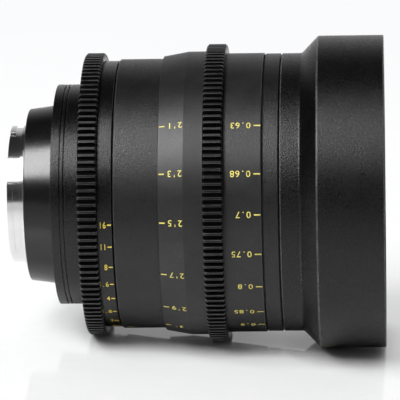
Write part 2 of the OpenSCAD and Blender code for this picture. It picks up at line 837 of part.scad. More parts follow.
module helicoid_sleeve() color("goldenrod") {
    difference() {
        ring(x_sleeve, x_focus_end - sleeve_inset, sleeve_r, sleeve_bore_r);
        for (angle = helicoid_screw_angles)
            radial_pin(x_helicoid_screw, angle, grub_r + seat_gap, sleeve_r - 1.5, sleeve_r + 1);
        along_axis()
            rotate([0, 0, focus_stop_angle])
                translate([stop_circle_r, 0, x_sleeve - 1])
                    cylinder(r = focus_stop_r + seat_gap, h = 1 + stop_pin_hold + seat_gap, $fn = small_fn);
    }
}

module helicoid_screws() color("gray") {
    for (angle = helicoid_screw_angles)
        difference() {
            radial_pin(x_helicoid_screw, angle, grub_r, sleeve_r - 1.4, focus_front_r - 0.2);
            outward(x_helicoid_screw, angle)
                translate([0, 0, focus_front_r - 1.6]) cylinder(r = grub_r * 0.6, h = 2, $fn = 6);
        }
}

// Optical barrel and its drive keys

key_recess = 1;
key_screw_inset = 2.6;
key_screw_r = guide_r - 0.4;
key_screw_l = key_screw_r - barrel_bore_r - 0.6;
cell_screw_start = 90;
front_flange_t = 2;
cell_screw_l = 5;
cell_screw_r = barrel_r - barrel_wall / 2;
key_side_gap = 0.05;

module key_screw_places() {
    for (angle = key_angles)
        for (along = [key_screw_inset, key_l - key_screw_inset])
            outward(x_key + along, angle) translate([0, 0, key_screw_r]) children();
}

module optical_barrel() color("#333333") {
    difference() {
        turned([
            [barrel_bore_r, x_barrel_rear], [barrel_r, x_barrel_rear], [barrel_r, x_barrel_front],
            [barrel_bore_r, x_barrel_front], [barrel_bore_r, x_web_front], [iris_hole_r + 1, x_web_front],
            [iris_hole_r + 1, x_web], [barrel_bore_r, x_web]
        ]);
        for (angle = key_angles)
            outward(x_key, angle)
                translate([-key_l - seat_gap, -key_w / 2 - seat_gap, barrel_r - key_recess])
                    cube([key_l + 2 * seat_gap, key_w + 2 * seat_gap, key_recess + 1]);
        key_screw_places() shank_hole(m16, key_screw_l);
        around(3, cell_screw_r, cell_screw_start)
            translate([0, 0, x_barrel_front + front_flange_t]) shank_hole(m16, cell_screw_l);
    }
}

module drive_keys() color("goldenrod") {
    difference() {
        for (angle = key_angles)
            intersection() {
                outward(x_key, angle)
                    translate([-key_l, key_side_gap - key_w / 2, barrel_r - key_recess])
                        cube([key_l, key_w - 2 * key_side_gap, key_recess + guide_wall + 1]);
                ring(x_key - 1, x_key + key_l + 1, guide_r, barrel_r - 4);
            }
        key_screw_places() flat_screw_hole(m16, key_screw_l);
    }
}

module drive_key_screws() color("gray") {
    key_screw_places() flat_screw(m16, key_screw_l);
}

// Front cell and its glass

retaining_lip = 1.6;
spacer_t = 1.5;
cheese_head_h = 0.6;
cell_opening_r = iris_hole_r + 0.7;
retaining_cover = 1.2;

module front_cell() color("#222222") {
    flange_r = barrel_r - 0.1;
    x_flange = x_barrel_front + front_flange_t;
    first_bore_r = front_glass_r + seat_gap;
    second_bore_r = second_glass_r + seat_gap;
    third_bore_r = front_doublet_r + seat_gap;
    difference() {
        turned([
            [cell_opening_r, x_web_front], [unit_r, x_web_front], [unit_r, x_barrel_front],
            [flange_r, x_barrel_front], [flange_r, x_flange], [nose_r, x_flange], [nose_r, x_nose],
            [first_bore_r + retaining_lip, x_nose], [first_bore_r + retaining_lip, x_first_edge],
            [first_bore_r, x_first_edge], [first_bore_r, x_first_back], [second_bore_r, x_first_back],
            [second_bore_r, x_second_seat], [third_bore_r, x_second_seat], [third_bore_r, x_fourth_edge],
            [cell_opening_r, x_fourth_edge]
        ]);
        around(3, cell_screw_r, cell_screw_start)
            translate([0, 0, x_flange]) shank_hole(m16, cell_screw_l);
    }
}

module front_cell_screws() color("gray") {
    around(3, cell_screw_r, cell_screw_start)
        translate([0, 0, x_barrel_front + front_flange_t]) cheese_screw(m16, cell_screw_l);
}

// A screw with a low straight head that clears the front cell's nose
module cheese_screw(size, shank_l) {
    translate([0, 0, -shank_l]) cylinder(r = size[0], h = shank_l + 0.01, $fn = small_fn);
    cylinder(r = barrel_wall / 2 - 0.1, h = cheese_head_h, $fn = small_fn);
}

module front_retaining_ring() color("black") {
    outer_r = front_glass_r + retaining_lip;
    inner_r = front_glass_r - retaining_cover;
    x_front = x_nose - 0.6;
    x_bear = x_first_front - sag(front_glass_face, inner_r) + bearing_gap;
    turned([
        [inner_r, x_bear], [outer_r, x_bear], [outer_r, x_front],
        [front_glass_r + 0.4, x_front], [inner_r, x_bear + 0.8]
    ]);
}

// A ball whose skin is a ground face: its pole is at x, on the front (1) or the rear (-1) of the ball
module full_face(x, face, side) {
    along_axis() translate([0, 0, x - side * face]) sphere(r = face);
}

module disc(x0, x1, r) {
    along_axis() translate([0, 0, x0]) cylinder(r = r, h = x1 - x0);
}

module front_element() color("lightcyan", 0.6) {
    intersection() {
        disc(x_first_back + 0.01, x_first_front + 1, front_glass_r);
        full_face(x_first_front, front_glass_face, 1);
    }
}

module second_element() color("lightcyan", 0.6) {
    difference() {
        intersection() {
            disc(x_second_seat + 0.01, x_second_front + 1, second_glass_r);
            full_face(x_second_front, second_glass_front, 1);
        }
        full_face(x_second_back, second_glass_back, 1);
    }
}

module front_doublet() color("lightcyan", 0.6) {
    intersection() {
        disc(x_third_back, x_third_front + 1, front_doublet_r);
        full_face(x_third_front, third_glass_face, 1);
    }
    difference() {
        disc(x_fourth_edge + 0.01, x_third_back - cement, front_doublet_r);
        full_face(x_fourth_back, fourth_glass_back, 1);
    }
}

module rear_doublet() color("lightcyan", 0.6) {
    difference() {
        disc(x_rear_lip + s_fifth_back, x_rear_lip + s_fifth_edge, rear_doublet_r);
        full_face(x_rear_lip + s_fifth_back + fifth_glass_t, fifth_glass_front, -1);
    }
    intersection() {
        disc(x_rear_lip + s_sixth_back - 1, x_rear_lip + s_sixth_front, rear_doublet_r);
        full_face(x_rear_lip + s_sixth_back, sixth_glass_back, -1);
    }
}

module seventh_element() color("lightcyan", 0.6) {
    intersection() {
        disc(x_rear_lip + s_seventh_back - 1, x_rear_lip + s_seventh_front + 1, rear_doublet_r);
        full_face(x_rear_lip + s_seventh_back, seventh_glass_face, -1);
        full_face(x_rear_lip + s_seventh_front, seventh_glass_face, 1);
    }
}

module eighth_element() color("lightcyan", 0.6) {
    intersection() {
        disc(x_rear_lip + s_eighth_back + 0.01, x_rear_lip + s_eighth_front + 1, eighth_glass_r);
        full_face(x_rear_lip + s_eighth_front, eighth_glass_face, 1);
    }
}

module last_doublet() color("lightcyan", 0.6) {
    intersection() {
        disc(x_rear_lip + s_ninth_back, x_rear_lip + s_ninth_front + 1, last_doublet_r);
        full_face(x_rear_lip + s_ninth_front, ninth_glass_face, 1);
    }
    difference() {
        disc(x_rear_lip + 0.01, x_rear_lip + s_ninth_back - cement, last_doublet_r);
        full_face(x_rear_lip + s_tenth_back, tenth_glass_back, 1);
    }
}

// A ring that holds two elements apart: its inner edge bears on their ground faces
module spacer(x0, x1, r) {
    ring(x0 + bearing_gap, x1 - bearing_gap, r, r - spacer_t);
}

module lens_spacers() color("black") {
    third_r = front_doublet_r - spacer_t;
    second_r = second_glass_r - spacer_t;
    ninth_r = last_doublet_r - spacer_t;
    eighth_r = eighth_glass_r - spacer_t;
    seventh_r = rear_doublet_r - spacer_t;
    spacer(x_third_front - sag(third_glass_face, third_r), x_second_seat, front_doublet_r);
    spacer(x_second_front - sag(second_glass_front, second_r), x_first_back, second_glass_r);
    translate([x_rear_lip, 0, 0]) {
        spacer(s_ninth_front - sag(ninth_glass_face, ninth_r), s_eighth_back, last_doublet_r);
        spacer(s_eighth_front - sag(eighth_glass_face, eighth_r),
            s_seventh_back + sag(seventh_glass_face, eighth_r), eighth_glass_r);
        spacer(s_seventh_front - sag(seventh_glass_face, seventh_r),
            s_sixth_back + sag(sixth_glass_back, seventh_r), rear_doublet_r);
    }
}

// Rear cell and the rings that hold it

finger_spare = 1;
finger_window = [
    drive_angle - iris_open_turn - finger_half_angle - finger_spare,
    drive_angle + iris_close_turn + finger_half_angle + finger_spare
];

module finger_window_cut(x0, x1) {
    sector(x0, x1, finger_r + window_gap, finger_bore_r - window_gap, finger_window[0], finger_window[1]);
}

module rear_cell() color("#222222") {
    doublet_bore_r = rear_doublet_r + seat_gap;
    eighth_bore_r = eighth_glass_r + seat_gap;
    last_bore_r = last_doublet_r + seat_gap;
    x_mid = x_rear_lip + s_sixth_back;
    x_small = x_rear_lip + s_eighth_front - 2;
    difference() {
        turned([
            [tenth_hollow_r + 0.6, x_cell_rear], [cell_rear_r - 0.4, x_cell_rear],
            [cell_rear_r, x_cell_rear + 0.4], [cell_rear_r, x_small], [cell_mid_r, x_small],
            [cell_mid_r, x_mid], [cell_front_r, x_mid], [cell_front_r, x_lock], [unit_r, x_lock],
            [unit_r, x_cell_front], [doublet_bore_r, x_cell_front],
            [doublet_bore_r, x_rear_lip + s_seventh_seat], [eighth_bore_r, x_rear_lip + s_seventh_seat],
            [eighth_bore_r, x_rear_lip + s_eighth_back], [last_bore_r, x_rear_lip + s_eighth_back],
            [last_bore_r, x_rear_lip], [tenth_hollow_r + 0.6, x_rear_lip]
        ]);
        finger_window_cut(x_lock - 1, x_cell_front + 1);
    }
}

module rear_retaining_ring() color("black") {
    ring(x_rear_lip + s_fifth_edge + 0.02, x_cell_front - 0.1, rear_doublet_r, fifth_hollow_r + 1);
}

module iris_lock_ring() color("gray") {
    ring(x_barrel_rear + 0.2, x_lock, unit_r, unit_r - lock_ring_t);
}

// Iris unit

module iris_cage() color("#444444") {
    difference() {
        turned([
            [iris_hole_r, x_cage], [cage_bore_r, x_cage], [cage_bore_r, x_cover_plate],
            [unit_r, x_cover_plate], [unit_r, x_web], [iris_hole_r, x_web]
        ]);
        around(blade_count, pivot_r)
            translate([0, 0, x_cage - 1])
                cylinder(r = pivot_pin_r + run_gap, h = cage_t + 0.8, $fn = small_fn);
    }
}

module iris_cover_plate() color("#444444") {
    difference() {
        ring(x_cell_front, x_cover_plate, unit_r, iris_hole_r + 0.8);
        finger_window_cut(x_cell_front - 1, x_cover_plate + 1);
    }
}

// Where a blade's driven pin lies when the iris ring has turned by some degrees from rest,
// seen from the actuator, which turns with the ring
function driven_pin(blade_turn) = [
    pivot_r + tail_l * cos(tail_angle + blade_turn),
    tail_l * sin(tail_angle + blade_turn)
];
function turn_back(p, turn) = [
    p[0] * cos(turn) + p[1] * sin(turn),
    p[1] * cos(turn) - p[0] * sin(turn)
];
function groove_point(turn) = turn_back(driven_pin(blade_ratio * (turn + iris_open_turn)), turn);
groove_spare = 1.6;
groove_turns = [
    for (i = [0 : groove_steps])
        -iris_open_turn - groove_spare + (iris_sweep + 2 * groove_spare) * i / groove_steps
];
function groove_side(turn, side) =
    let (here = groove_point(turn), ahead = groove_point(turn + 0.1), way = ahead - here)
        here + side * (driven_pin_r + groove_gap) * [way[1], -way[0]] / norm(way);
groove_outline = concat(
    [for (turn = groove_turns) groove_side(turn, 1)],
    [for (i = [groove_steps : -1 : 0]) groove_side(groove_turns[i], -1)]
);
actuator_bore_r = iris_hole_r + 5.7;

module iris_actuator() color("#555555") {
    x_rear = x_actuator - actuator_t;
    difference() {
        union() {
            ring(x_rear, x_actuator, actuator_r, actuator_bore_r);
            sector(x_finger, x_rear + 0.5, finger_r, finger_bore_r,
                drive_angle - finger_half_angle, drive_angle + finger_half_angle);
        }
        along_axis()
            for (k = [0 : blade_count - 1])
                rotate([0, 0, k * blade_step])
                    translate([0, 0, x_actuator - groove_depth])
                        linear_extrude(groove_depth + 1) polygon(groove_outline);
        outward(x_drive_pin, drive_angle)
            translate([-drive_pin_r - far_travel - end_gap, -drive_pin_r - groove_gap, finger_bore_r - 1])
                cube([finger_end_gap + far_travel + 5, 2 * (drive_pin_r + groove_gap), finger_t + 2]);
    }
}

// Outline of a blade: the boss round its pivot, the curved band with a round tip, and the tail
function polar(r, angle) = [r * cos(angle), r * sin(angle)];
blade_mid_r = (blade_inner_r + blade_outer_r) / 2;
blade_pivot = [pivot_r, 0];
tail_end = driven_pin(0);
band_start = 4;
tail_root = 2.5;
band_steps = 20;
corner_steps = 6;
blade_outline = concat(
    [for (i = [0 : corner_steps]) blade_pivot + polar(boss_r, -40 + 130 * i / corner_steps)],
    [
        for (i = [0 : band_steps])
            polar(blade_outer_r, band_start + (blade_span - band_start) * i / band_steps)
    ],
    [
        for (i = [1 : corner_steps - 1])
            polar(blade_mid_r, blade_span) + polar(blade_w / 2, blade_span + 180 * i / corner_steps)
    ],
    [
        for (i = [band_steps : -1 : 0])
            polar(blade_inner_r, (blade_span + band_start) * i / band_steps - band_start)
    ],
    [blade_pivot + polar(tail_root, tail_angle) + polar(tail_w / 2, tail_angle - 90)],
    [for (i = [0 : corner_steps]) tail_end + polar(tail_w / 2, tail_angle - 90 + 180 * i / corner_steps)]
);

// One blade in its own layer, with the pivot pin towards the front and the driven pin towards the rear
pivot_reach = 1.2;
driven_reach = 0.8;
module iris_blade(k) color("#2a2a2a") {
    x_layer = x_blades - (k + 1) * layer_pitch + layer_gap;
    x_middle = x_layer + blade_t / 2;
    x_pivot_tip = x_cage + pivot_reach;
    x_driven_tip = x_actuator - driven_reach;
    along_axis()
        rotate([0, 0, k * blade_step])
            translate(blade_pivot)
                rotate([0, 0, blade_rest])
                    translate(-blade_pivot) {
                        translate([0, 0, x_layer]) linear_extrude(blade_t) polygon(blade_outline);
                        translate([pivot_r, 0, x_middle])
                            cylinder(r = pivot_pin_r, h = x_pivot_tip - x_middle, $fn = small_fn);
                        translate([tail_end[0], tail_end[1], x_driven_tip])
                            cylinder(r = driven_pin_r, h = x_middle - x_driven_tip, $fn = small_fn);
                    }
}

bayonet_mount();
mount_screws();
mount_shim();
rear_baffle();
rear_cover();
rear_cover_screws();
rear_barrel();
iris_stop_pin();
fixed_barrel();
fixed_barrel_screws();
guide_tube();
guide_tube_screws();
focus_stop_ring();
thrust_washers();
index_ring();
index_ring_screws();
front_barrel();
front_barrel_screws();
hood_baffle();
iris_ring();
iris_gear();
iris_drive_pin();
focus_ring();
focus_gear();
helicoid_sleeve();
helicoid_screws();
focus_stop_pin();
optical_barrel();
drive_keys();
drive_key_screws();
front_cell();
front_cell_screws();
front_retaining_ring();
rear_cell();
rear_retaining_ring();
iris_lock_ring();
lens_spacers();
front_element();
second_element();
front_doublet();
rear_doublet();
seventh_element();
eighth_element();
last_doublet();
iris_cage();
iris_cover_plate();
iris_actuator();
iris_blade(0);  // iris_blade_01
iris_blade(1);  // iris_blade_02
iris_blade(2);  // iris_blade_03
iris_blade(3);  // iris_blade_04
iris_blade(4);  // iris_blade_05
iris_blade(5);  // iris_blade_06
iris_blade(6);  // iris_blade_07
iris_blade(7);  // iris_blade_08
iris_blade(8);  // iris_blade_09
iris_blade(9);  // iris_blade_10
iris_blade(10);  // iris_blade_11
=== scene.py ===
"""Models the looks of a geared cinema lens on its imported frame.

The lens axis is +X, towards the front, and the side with the scales is -Y. Lengths are in metres.
An angle about the axis is 0 at -Y and grows downwards, the way that a positive joint turns.
"""

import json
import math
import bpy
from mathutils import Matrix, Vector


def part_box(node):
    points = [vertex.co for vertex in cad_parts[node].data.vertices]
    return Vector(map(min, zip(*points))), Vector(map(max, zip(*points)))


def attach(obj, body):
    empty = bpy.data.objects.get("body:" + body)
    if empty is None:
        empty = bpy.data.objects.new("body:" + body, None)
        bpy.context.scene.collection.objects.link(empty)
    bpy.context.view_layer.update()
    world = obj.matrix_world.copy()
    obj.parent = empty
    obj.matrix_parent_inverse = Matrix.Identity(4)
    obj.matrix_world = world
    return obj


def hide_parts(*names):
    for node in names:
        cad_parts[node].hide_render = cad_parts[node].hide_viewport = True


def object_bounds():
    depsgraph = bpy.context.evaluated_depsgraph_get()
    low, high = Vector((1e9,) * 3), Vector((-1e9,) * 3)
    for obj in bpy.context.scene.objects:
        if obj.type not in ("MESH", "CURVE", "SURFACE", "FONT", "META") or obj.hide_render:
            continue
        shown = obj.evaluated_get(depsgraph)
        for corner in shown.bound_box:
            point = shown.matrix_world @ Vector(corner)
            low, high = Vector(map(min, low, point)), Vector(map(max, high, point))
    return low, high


bl_info = {
    "name": "Geared Cinema Lens",
    "version": (1, 0, 0),
    "blender": (4, 5, 0),
    "location": "View3D > Sidebar > Lens",
    "description": "Models and finishes a geared cinema lens on its packed frame",
    "category": "Object",
}

import bmesh
import bpy
from bpy.props import FloatProperty, FloatVectorProperty, IntProperty, PointerProperty
from mathutils import Matrix, Vector

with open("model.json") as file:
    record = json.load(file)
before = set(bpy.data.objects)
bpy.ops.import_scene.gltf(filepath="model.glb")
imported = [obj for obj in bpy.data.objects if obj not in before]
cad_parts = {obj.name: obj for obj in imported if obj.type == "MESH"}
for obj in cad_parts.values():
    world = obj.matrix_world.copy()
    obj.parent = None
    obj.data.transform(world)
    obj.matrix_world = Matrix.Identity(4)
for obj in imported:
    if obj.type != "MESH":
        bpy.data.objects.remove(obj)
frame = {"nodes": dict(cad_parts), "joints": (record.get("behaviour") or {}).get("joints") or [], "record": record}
CAD_LOW, CAD_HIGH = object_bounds()

MM = 0.001
AXIS = Vector((1.0, 0.0, 0.0))
CENTRE = Vector((0.0, 0.0, 0.0))

# Shapes
SHARP = math.radians(24)
CREASE = math.radians(8)
SLACK = 0.01 * MM
LOOSE_SLACK = 0.05 * MM
DOUBLES = 0.0005 * MM
EDGE_SEGMENTS = 3
ARC_STEPS = 24
WHOLE_DEGREES = 360
CLAWS = 3

# Teeth, as shares of the pitch
TOOTH_ROOT_HALF = 0.395
TOOTH_TIP_HALF = 0.14
PITCH_SLACK = 0.01
FACING_ENDS = 0.5

# Painted digits, in units of the type size
DIGIT_UNITS = 0.7
DIGIT_WEIGHT = 0.004
DIGIT_ADVANCE = 0.555
DIGIT_CURVE_STEPS = 4
PAINT_SINK = 0.02 * MM
TICK_STEPS = 3

# Grain of the finishes
GRAIN_HEIGHT = 0.5 * MM
FINE_HEIGHT = 0.01 * MM
SPARKLE = 0.2
SPOT_RANGE = (0.38, 0.68)
CLOUD_SCALE = 140.0
CLOUD_RANGE = (0.3, 0.7)
CLOUD_GAIN = (0.75, 1.25)
BASE_GAIN = 0.7
# Patches along the broken edges, which are lightened partly as wear and partly as painted highlight
WEAR_AND_HIGHLIGHT_SCALE = 260.0
WEAR_AND_HIGHLIGHT_RANGE = (0.35, 0.65)
LEAST_WEAR_AND_HIGHLIGHT = 0.45
METAL_SPECKLE = 0.06
METAL_EVENNESS = 0.8
GLASS_COATING = (0.15, 0.08, 0.24)
GLASS_EVENNESS = 0.5
HAZE_RANGE = (0.3, 0.8)
MOST_HAZE = 0.01

# Room: how bright it looks in mirrors, behind the lens and elsewhere, and how bright the camera sees it
ROOM_LIGHT = 0.02
BACKDROP_LIGHT = 0.6
BACKDROP_RANGE = (0.66, 0.98)
BACKDROP_WHITE = 0.96

# Table: its mirror image, its contact shadow, partly real and partly painted, its painted glow near the lens and
# far behind, and its painted darkening in front
FLOOR_WHITE = (0.945, 0.95, 0.96)
FLOOR_EVENNESS = 0.9
FLOOR_INDEX = 1.5
FLOOR_MIRROR = 1.4
FLOOR_GLOW = 0.5
CONTACT = 11.0 * MM
CONTACT_POWER = 1.6
FLOOR_NEAR = -70.0 * MM
FLOOR_FAR = -260.0 * MM
FLOOR_FALL = 0.55
HORIZON_NEAR = 50.0 * MM
HORIZON_FAR = 600.0 * MM
HORIZON_GLOW = 0.9

# Scale marks: what each says, and its angle in degrees when the rings are at rest
INFINITY = "infinity"
METRE_MARKS = [
    ("0.63", -27.6), ("0.68", -7.3), ("0.7", 9), ("0.75", 25.5), ("0.8", 41.2), ("0.85", 57.1), ("0.9", 69.5),
    ("1", 88), ("1.2", 121), ("1.5", 150), ("2", 178), ("3", 204), ("5", 224), ("10", 239), (INFINITY, 253),
]
FOOT_MARKS = [
    ("2'1", -27.8), ("2'3", -7.6), ("2'5", 12.1), ("2'7", 34.9), ("2'9", 53.8), ("3'", 70.8), ("3'6", 99),
    ("4'", 123), ("5'", 151), ("7'", 183), ("10'", 205), ("20'", 229), (INFINITY, 253),
]
IRIS_MARKS = [
    ("16", 13.2), ("11", 22.9), ("8", 32.5), ("5.6", 41.6), ("4", 50.4), ("2.8", 60.5), ("2", 70.5),
    ("1.4", 80), ("1", 90),
]


def length(name, description, millimetres):
    """A length that a user can change, given in millimetres."""
    return FloatProperty(
        name=name, description=description, default=millimetres * MM, unit="LENGTH", subtype="DISTANCE"
    )


def turn(name, description, degrees):
    """An angle that a user can change, given in degrees."""
    return FloatProperty(
        name=name, description=description, default=math.radians(degrees), unit="ROTATION", subtype="ANGLE"
    )


def power(name, description, watts):
    """The power of a light that a user can change."""
    return FloatProperty(name=name, description=description, default=watts, unit="POWER")


def tint(name, description, red, green, blue):
    """A colour that a user can change."""
    return FloatVectorProperty(
        name=name, description=description, default=(red, green, blue), size=3, min=0.0, max=1.0,
        subtype="COLOR",
    )


def rim(node):
    """Rear end, front end, inner radius and outer radius of a round node of the frame."""
    points = [vertex.co for vertex in frame["nodes"][node].data.vertices]
    stations = [point.x for point in points]
    radii = [math.hypot(point.y, point.z) for point in points]
    return min(stations), max(stations), min(radii), max(radii)


def mount_radius(name):
    """The radius of a mount of the record, in millimetres."""
    mount = next(row for row in frame["record"]["mounts"] if row["name"] == name)
    return mount["dims"]["r_mm"]


class LensSizes(bpy.types.PropertyGroup):
    """Sizes of the shapes that the frame doesn't give."""

    steps: IntProperty(name="Steps", description="Faces round a turned ring", default=256, min=48, max=512)
    edge: length("Edge break", "Rounding of the turned edges", 0.4)
    small_edge: length("Small edge break", "Rounding of fine edges", 0.08)
    band_edge: length("Band edge", "Rounding of the iris band's edges", 0.2)
    joint_reach: length("Joint reach", "How far the fixed barrel closes up to the focus ring", 0.2)
    key_room: length("Key room", "Room between the index ring's bore and the drive keys", 0.06)
    fillet: length("Fillet", "Rounding where the front ring meets its cone", 0.5)
    undercut: length("Undercut", "How far the rings fall back at a gap", 0.12)
    undercut_depth: length("Undercut depth", "How deep the rings fall back at a gap", 1.2)
    iris_teeth: IntProperty(name="Iris teeth", description="Teeth on the iris gear", default=127)
    focus_teeth: IntProperty(name="Focus teeth", description="Teeth on the focus gear", default=134)
    tooth_height: length("Tooth height", "From the root to the tip of a tooth", 1.8)
    tooth_chamfer: length("Tooth chamfer", "Slope at the ends of the teeth", 0.6)
    tooth_edge: length("Tooth edge", "Rounding of a tooth's long edges", 0.07)
    seat_gap: length("Seat gap", "Clearance of pieces that are fixed together", 0.02)
    run_gap: length("Running gap", "Clearance of pieces that turn on each other", 0.05)
    end_gap: length("End gap", "Space at the ends of slots and between turning faces", 0.3)
    register_radius: length("Register radius", "Radius of the register", mount_radius("bayonet_register"))
    register_length: length("Register", "Length of the bayonet's register", 1.7)
    claw_thickness: length("Claw", "Thickness of a bayonet claw", 2.0)
    claw_inset: length("Claw inset", "How far the claws stay inside the register", 0.1)
    claw_groove: length("Claw groove", "Depth of the groove in front of the claws", 0.8)
    claw_span: turn("Claw span", "Angle that a claw spans", 66)
    claw_turn: turn("Claw place", "Angle of the middle of the first claw", 11)
    cover_taper: length("Cover taper", "Growth of the rear cover's radius towards the front", 1.4)
    cover_wall: length("Cover wall", "Wall of the rear cover", 3.0)
    ledge: length("Ledge", "Thickness of the ledge that holds the flange plate", 2.4)
    step_radius: length("Step radius", "Radius of the rear barrel", 40.25)
    back_wall: length("Back wall", "Thickness of the rear barrel's back wall", 2.5)
    lip_gap: length("Lip gap", "From the back of the iris ring to the rear barrel's lip", 0.2)
    lip: length("Lip", "Thickness of the rear barrel's lip", 1.6)
    slot_spare: turn("Slot spare", "Spare turn at each end of the drive pin's slot", 4)
    track_spare: turn("Track spare", "Spare turn at each end of the stop pin's track", 2)
    track_depth: length("Track depth", "Depth of the stop pin's track", 1.3)
    stop_step: length("Stop step", "Shoulder behind the focus stop ring", 0.8)
    groove_width: length("Groove width", "Width of the two fine grooves", 0.62)
    groove_depth: length("Groove depth", "Depth of the two fine grooves", 0.9)
    first_groove: length("First groove", "From the back of the rear barrel to its first groove", 3.0)
    second_groove: length("Second groove", "From the back of the rear barrel to its second groove", 4.45)
    focus_rear_radius: length("Focus rear", "Radius of the focus ring at its rear edge", 50.15)
    focus_cone: length("Focus cone", "Length of the focus ring's rear cone", 9.0)
    spigot: length("Spigot", "Depth of the gap between the index ring and the front ring", 2.7)
    front_gap: length("Front gap", "Width of the gap between the index ring and the front ring", 0.4)
    front_shell: length("Front shell", "Wall of the front ring", 4.2)
    front_wall: length("Front wall", "Thickness of the front barrel's back wall", 3.0)
    hood_wall: length("Hood wall", "Wall of the hood at its thread", 4.9)
    bore_run: length("Bore run", "From the hood's rear edge to the start of its bore", 2.0)
    front_ring: length("Front ring", "Length of the straight ring behind the cone", 7.2)
    front_cone: length("Front cone", "Length of the cone behind the hood", 6.0)
    thread_length: length("Thread", "Length of the front thread", 8.0)
    thread_pitch: length("Thread pitch", "Pitch of the front thread", 0.75)
    thread_depth: length("Thread depth", "Depth of the front thread", 0.4)
    relief: length("Relief", "Width of the groove behind the thread", 1.0)
    relief_depth: length("Relief depth", "Depth of the groove behind the thread", 0.9)
    digit_height: length("Digits", "Height of the scale digits", 2.28)
    digit_cell: length("Digit cell", "Width of the cell that each digit sits in", 1.9)
    paint: length("Paint", "Thickness of the scale paint", 0.03)
    tick_width: length("Tick width", "Width of a scale mark", 0.45)
    tick: length("Tick", "Length of a distance mark", 2.4)
    foot_tick: length("Foot tick", "Length of a mark of the scale in feet", 2.0)
    foot_digit_cell: length("Foot digit cell", "Width of the cell that each digit in feet sits in", 1.85)
    iris_tick: length("Iris tick", "Length of an iris mark", 1.5)
    iris_tick_inset: length("Iris tick inset", "From the edge of the iris ring to its marks", 0.32)
    iris_digit_cell: length("Iris digit cell", "Width of the cell that each iris digit sits in", 1.36)
    iris_digit_gap: length("Iris digit gap", "From an iris mark to its digits", 0.28)
    tick_inset: length("Tick inset", "From the edge of a ring to its scale marks", 0.42)
    digit_gap: length("Digit gap", "From a scale mark to its digits", 0.9)
    index_turn: turn("Index place", "Angle of the index marks from the scales' level", 80)
    index_inset: length("Index inset", "From the edge of a barrel to its index mark", 2.0)
    index_length: length("Index length", "Length of an index mark", 2.2)
    scale_turn: turn("Scale place", "How far the scales are turned up from level", 13)


class LensColours(bpy.types.PropertyGroup):
    """Colours of the finishes."""

    barrel: tint("Barrel", "Satin black of the fixed barrel and the index ring", 0.006, 0.006, 0.0064)
    focus: tint("Focus ring", "Slightly greyer satin black of the focus ring", 0.012, 0.012, 0.0125)
    band: tint("Rear bands", "Deep satin black of the rear barrel and the iris ring", 0.002, 0.002, 0.0022)
    cover: tint("Cover", "Smooth black of the rear cover", 0.004, 0.004, 0.004)
    gear: tint("Gear", "Black of the cut teeth", 0.004, 0.004, 0.0045)
    # The tooth spaces take a darker black than the teeth: painted shade between the teeth
    tooth_space_shade: tint("Tooth spaces", "Dull black between the teeth", 0.002, 0.002, 0.0022)
    hood: tint("Hood", "Blasted black of the hood", 0.0015, 0.0015, 0.0017)
    trap: tint("Light trap", "Matt black of the light traps", 0.006, 0.006, 0.006)
    # Broken edges are lightened towards this colour: partly worn bare metal, partly painted highlight lines
    bare_edge: tint("Bare edge", "Metal that shows where an edge is worn", 0.16, 0.16, 0.165)
    chrome: tint("Chrome", "Plating of the bayonet", 0.97, 0.97, 0.97)
    steel: tint("Steel", "Screws and pins", 0.42, 0.42, 0.43)
    aluminium: tint("Aluminium", "Turned aluminium inside", 0.62, 0.62, 0.63)
    brass: tint("Brass", "Helicoid sleeve and keys", 0.74, 0.53, 0.24)
    # The bearing washers are painted near black, as the shade in the ring gaps where they show
    washer: tint("Washer", "Plain bearing washers", 0.03, 0.03, 0.03)
    blade: tint("Blade", "Blackened spring steel", 0.045, 0.045, 0.05)
    glass: tint("Glass", "Body of the glass", 0.97, 0.99, 0.98)
    focus_paint: tint("Focus paint", "Pale paint of the distance scales", 0.9, 0.78, 0.17)
    iris_paint: tint("Iris paint", "Deep paint of the iris scale", 1.0, 0.78, 0.1)


class LensStage(bpy.types.PropertyGroup):
    """Camera, floor and light."""

    camera_distance: length("Distance", "From the camera to the lens axis", 1300)
    camera_station: length("Station", "Where the camera stands along the lens axis", 134.7)
    camera_rise: turn("Rise", "How far the camera looks down", 13)
    camera_roll: turn("Roll", "Lean of the picture", -1.3)
    aim_station: length("Aim", "Point of the lens axis in the middle of the picture", 62.25)
    aim_drop: length("Aim drop", "How far the middle of the picture lies below the axis", 2.64)
    focal: FloatProperty(name="Focal length", description="Focal length in millimetres", default=319.8)
    key_side: turn("Key side", "How far the soft box stands towards the mount", 31.5)
    key_rise: turn("Key rise", "How high the soft box stands", 53.4)
    key_distance: length("Key distance", "From the soft box to the lens", 4000)
    key_width: length("Key width", "Width of the soft box", 2050)
    key_height: length("Key height", "Height of the soft box", 2900)
    key_lean: turn("Key lean", "Lean of the soft box", -8)
    key_power: power("Key", "Power of the soft box", 62.7)
    core_side: turn("Core side", "How far the strip light stands towards the mount", 36.7)
    core_rise: turn("Core rise", "How high the strip light stands", 50.5)
    core_width: length("Core width", "Width of the strip light", 900)
    core_height: length("Core height", "Height of the strip light", 2700)
    core_power: power("Core", "Power of the strip light", 120.0)
    top_height: length("Top height", "Height of the overhead light", 2200)
    top_back: length("Top place", "How far the overhead light stands behind the lens", 1000)
    top_size: length("Top size", "Side of the overhead light", 3000)
    top_power: power("Top", "Power of the overhead light", 20.0)
    floor_size: length("Floor size", "Side of the table top", 9000)
    floor: tint("Floor", "Pale table top", 0.88, 0.88, 0.88)


# Node helpers


def node_of(tree, kind, **values):
    """Adds a shader node and sets its properties and unlinked inputs."""
    made = tree.nodes.new(kind)
    for key, value in values.items():
        if key in made.inputs:
            made.inputs[key].default_value = value
        else:
            setattr(made, key, value)
    return made


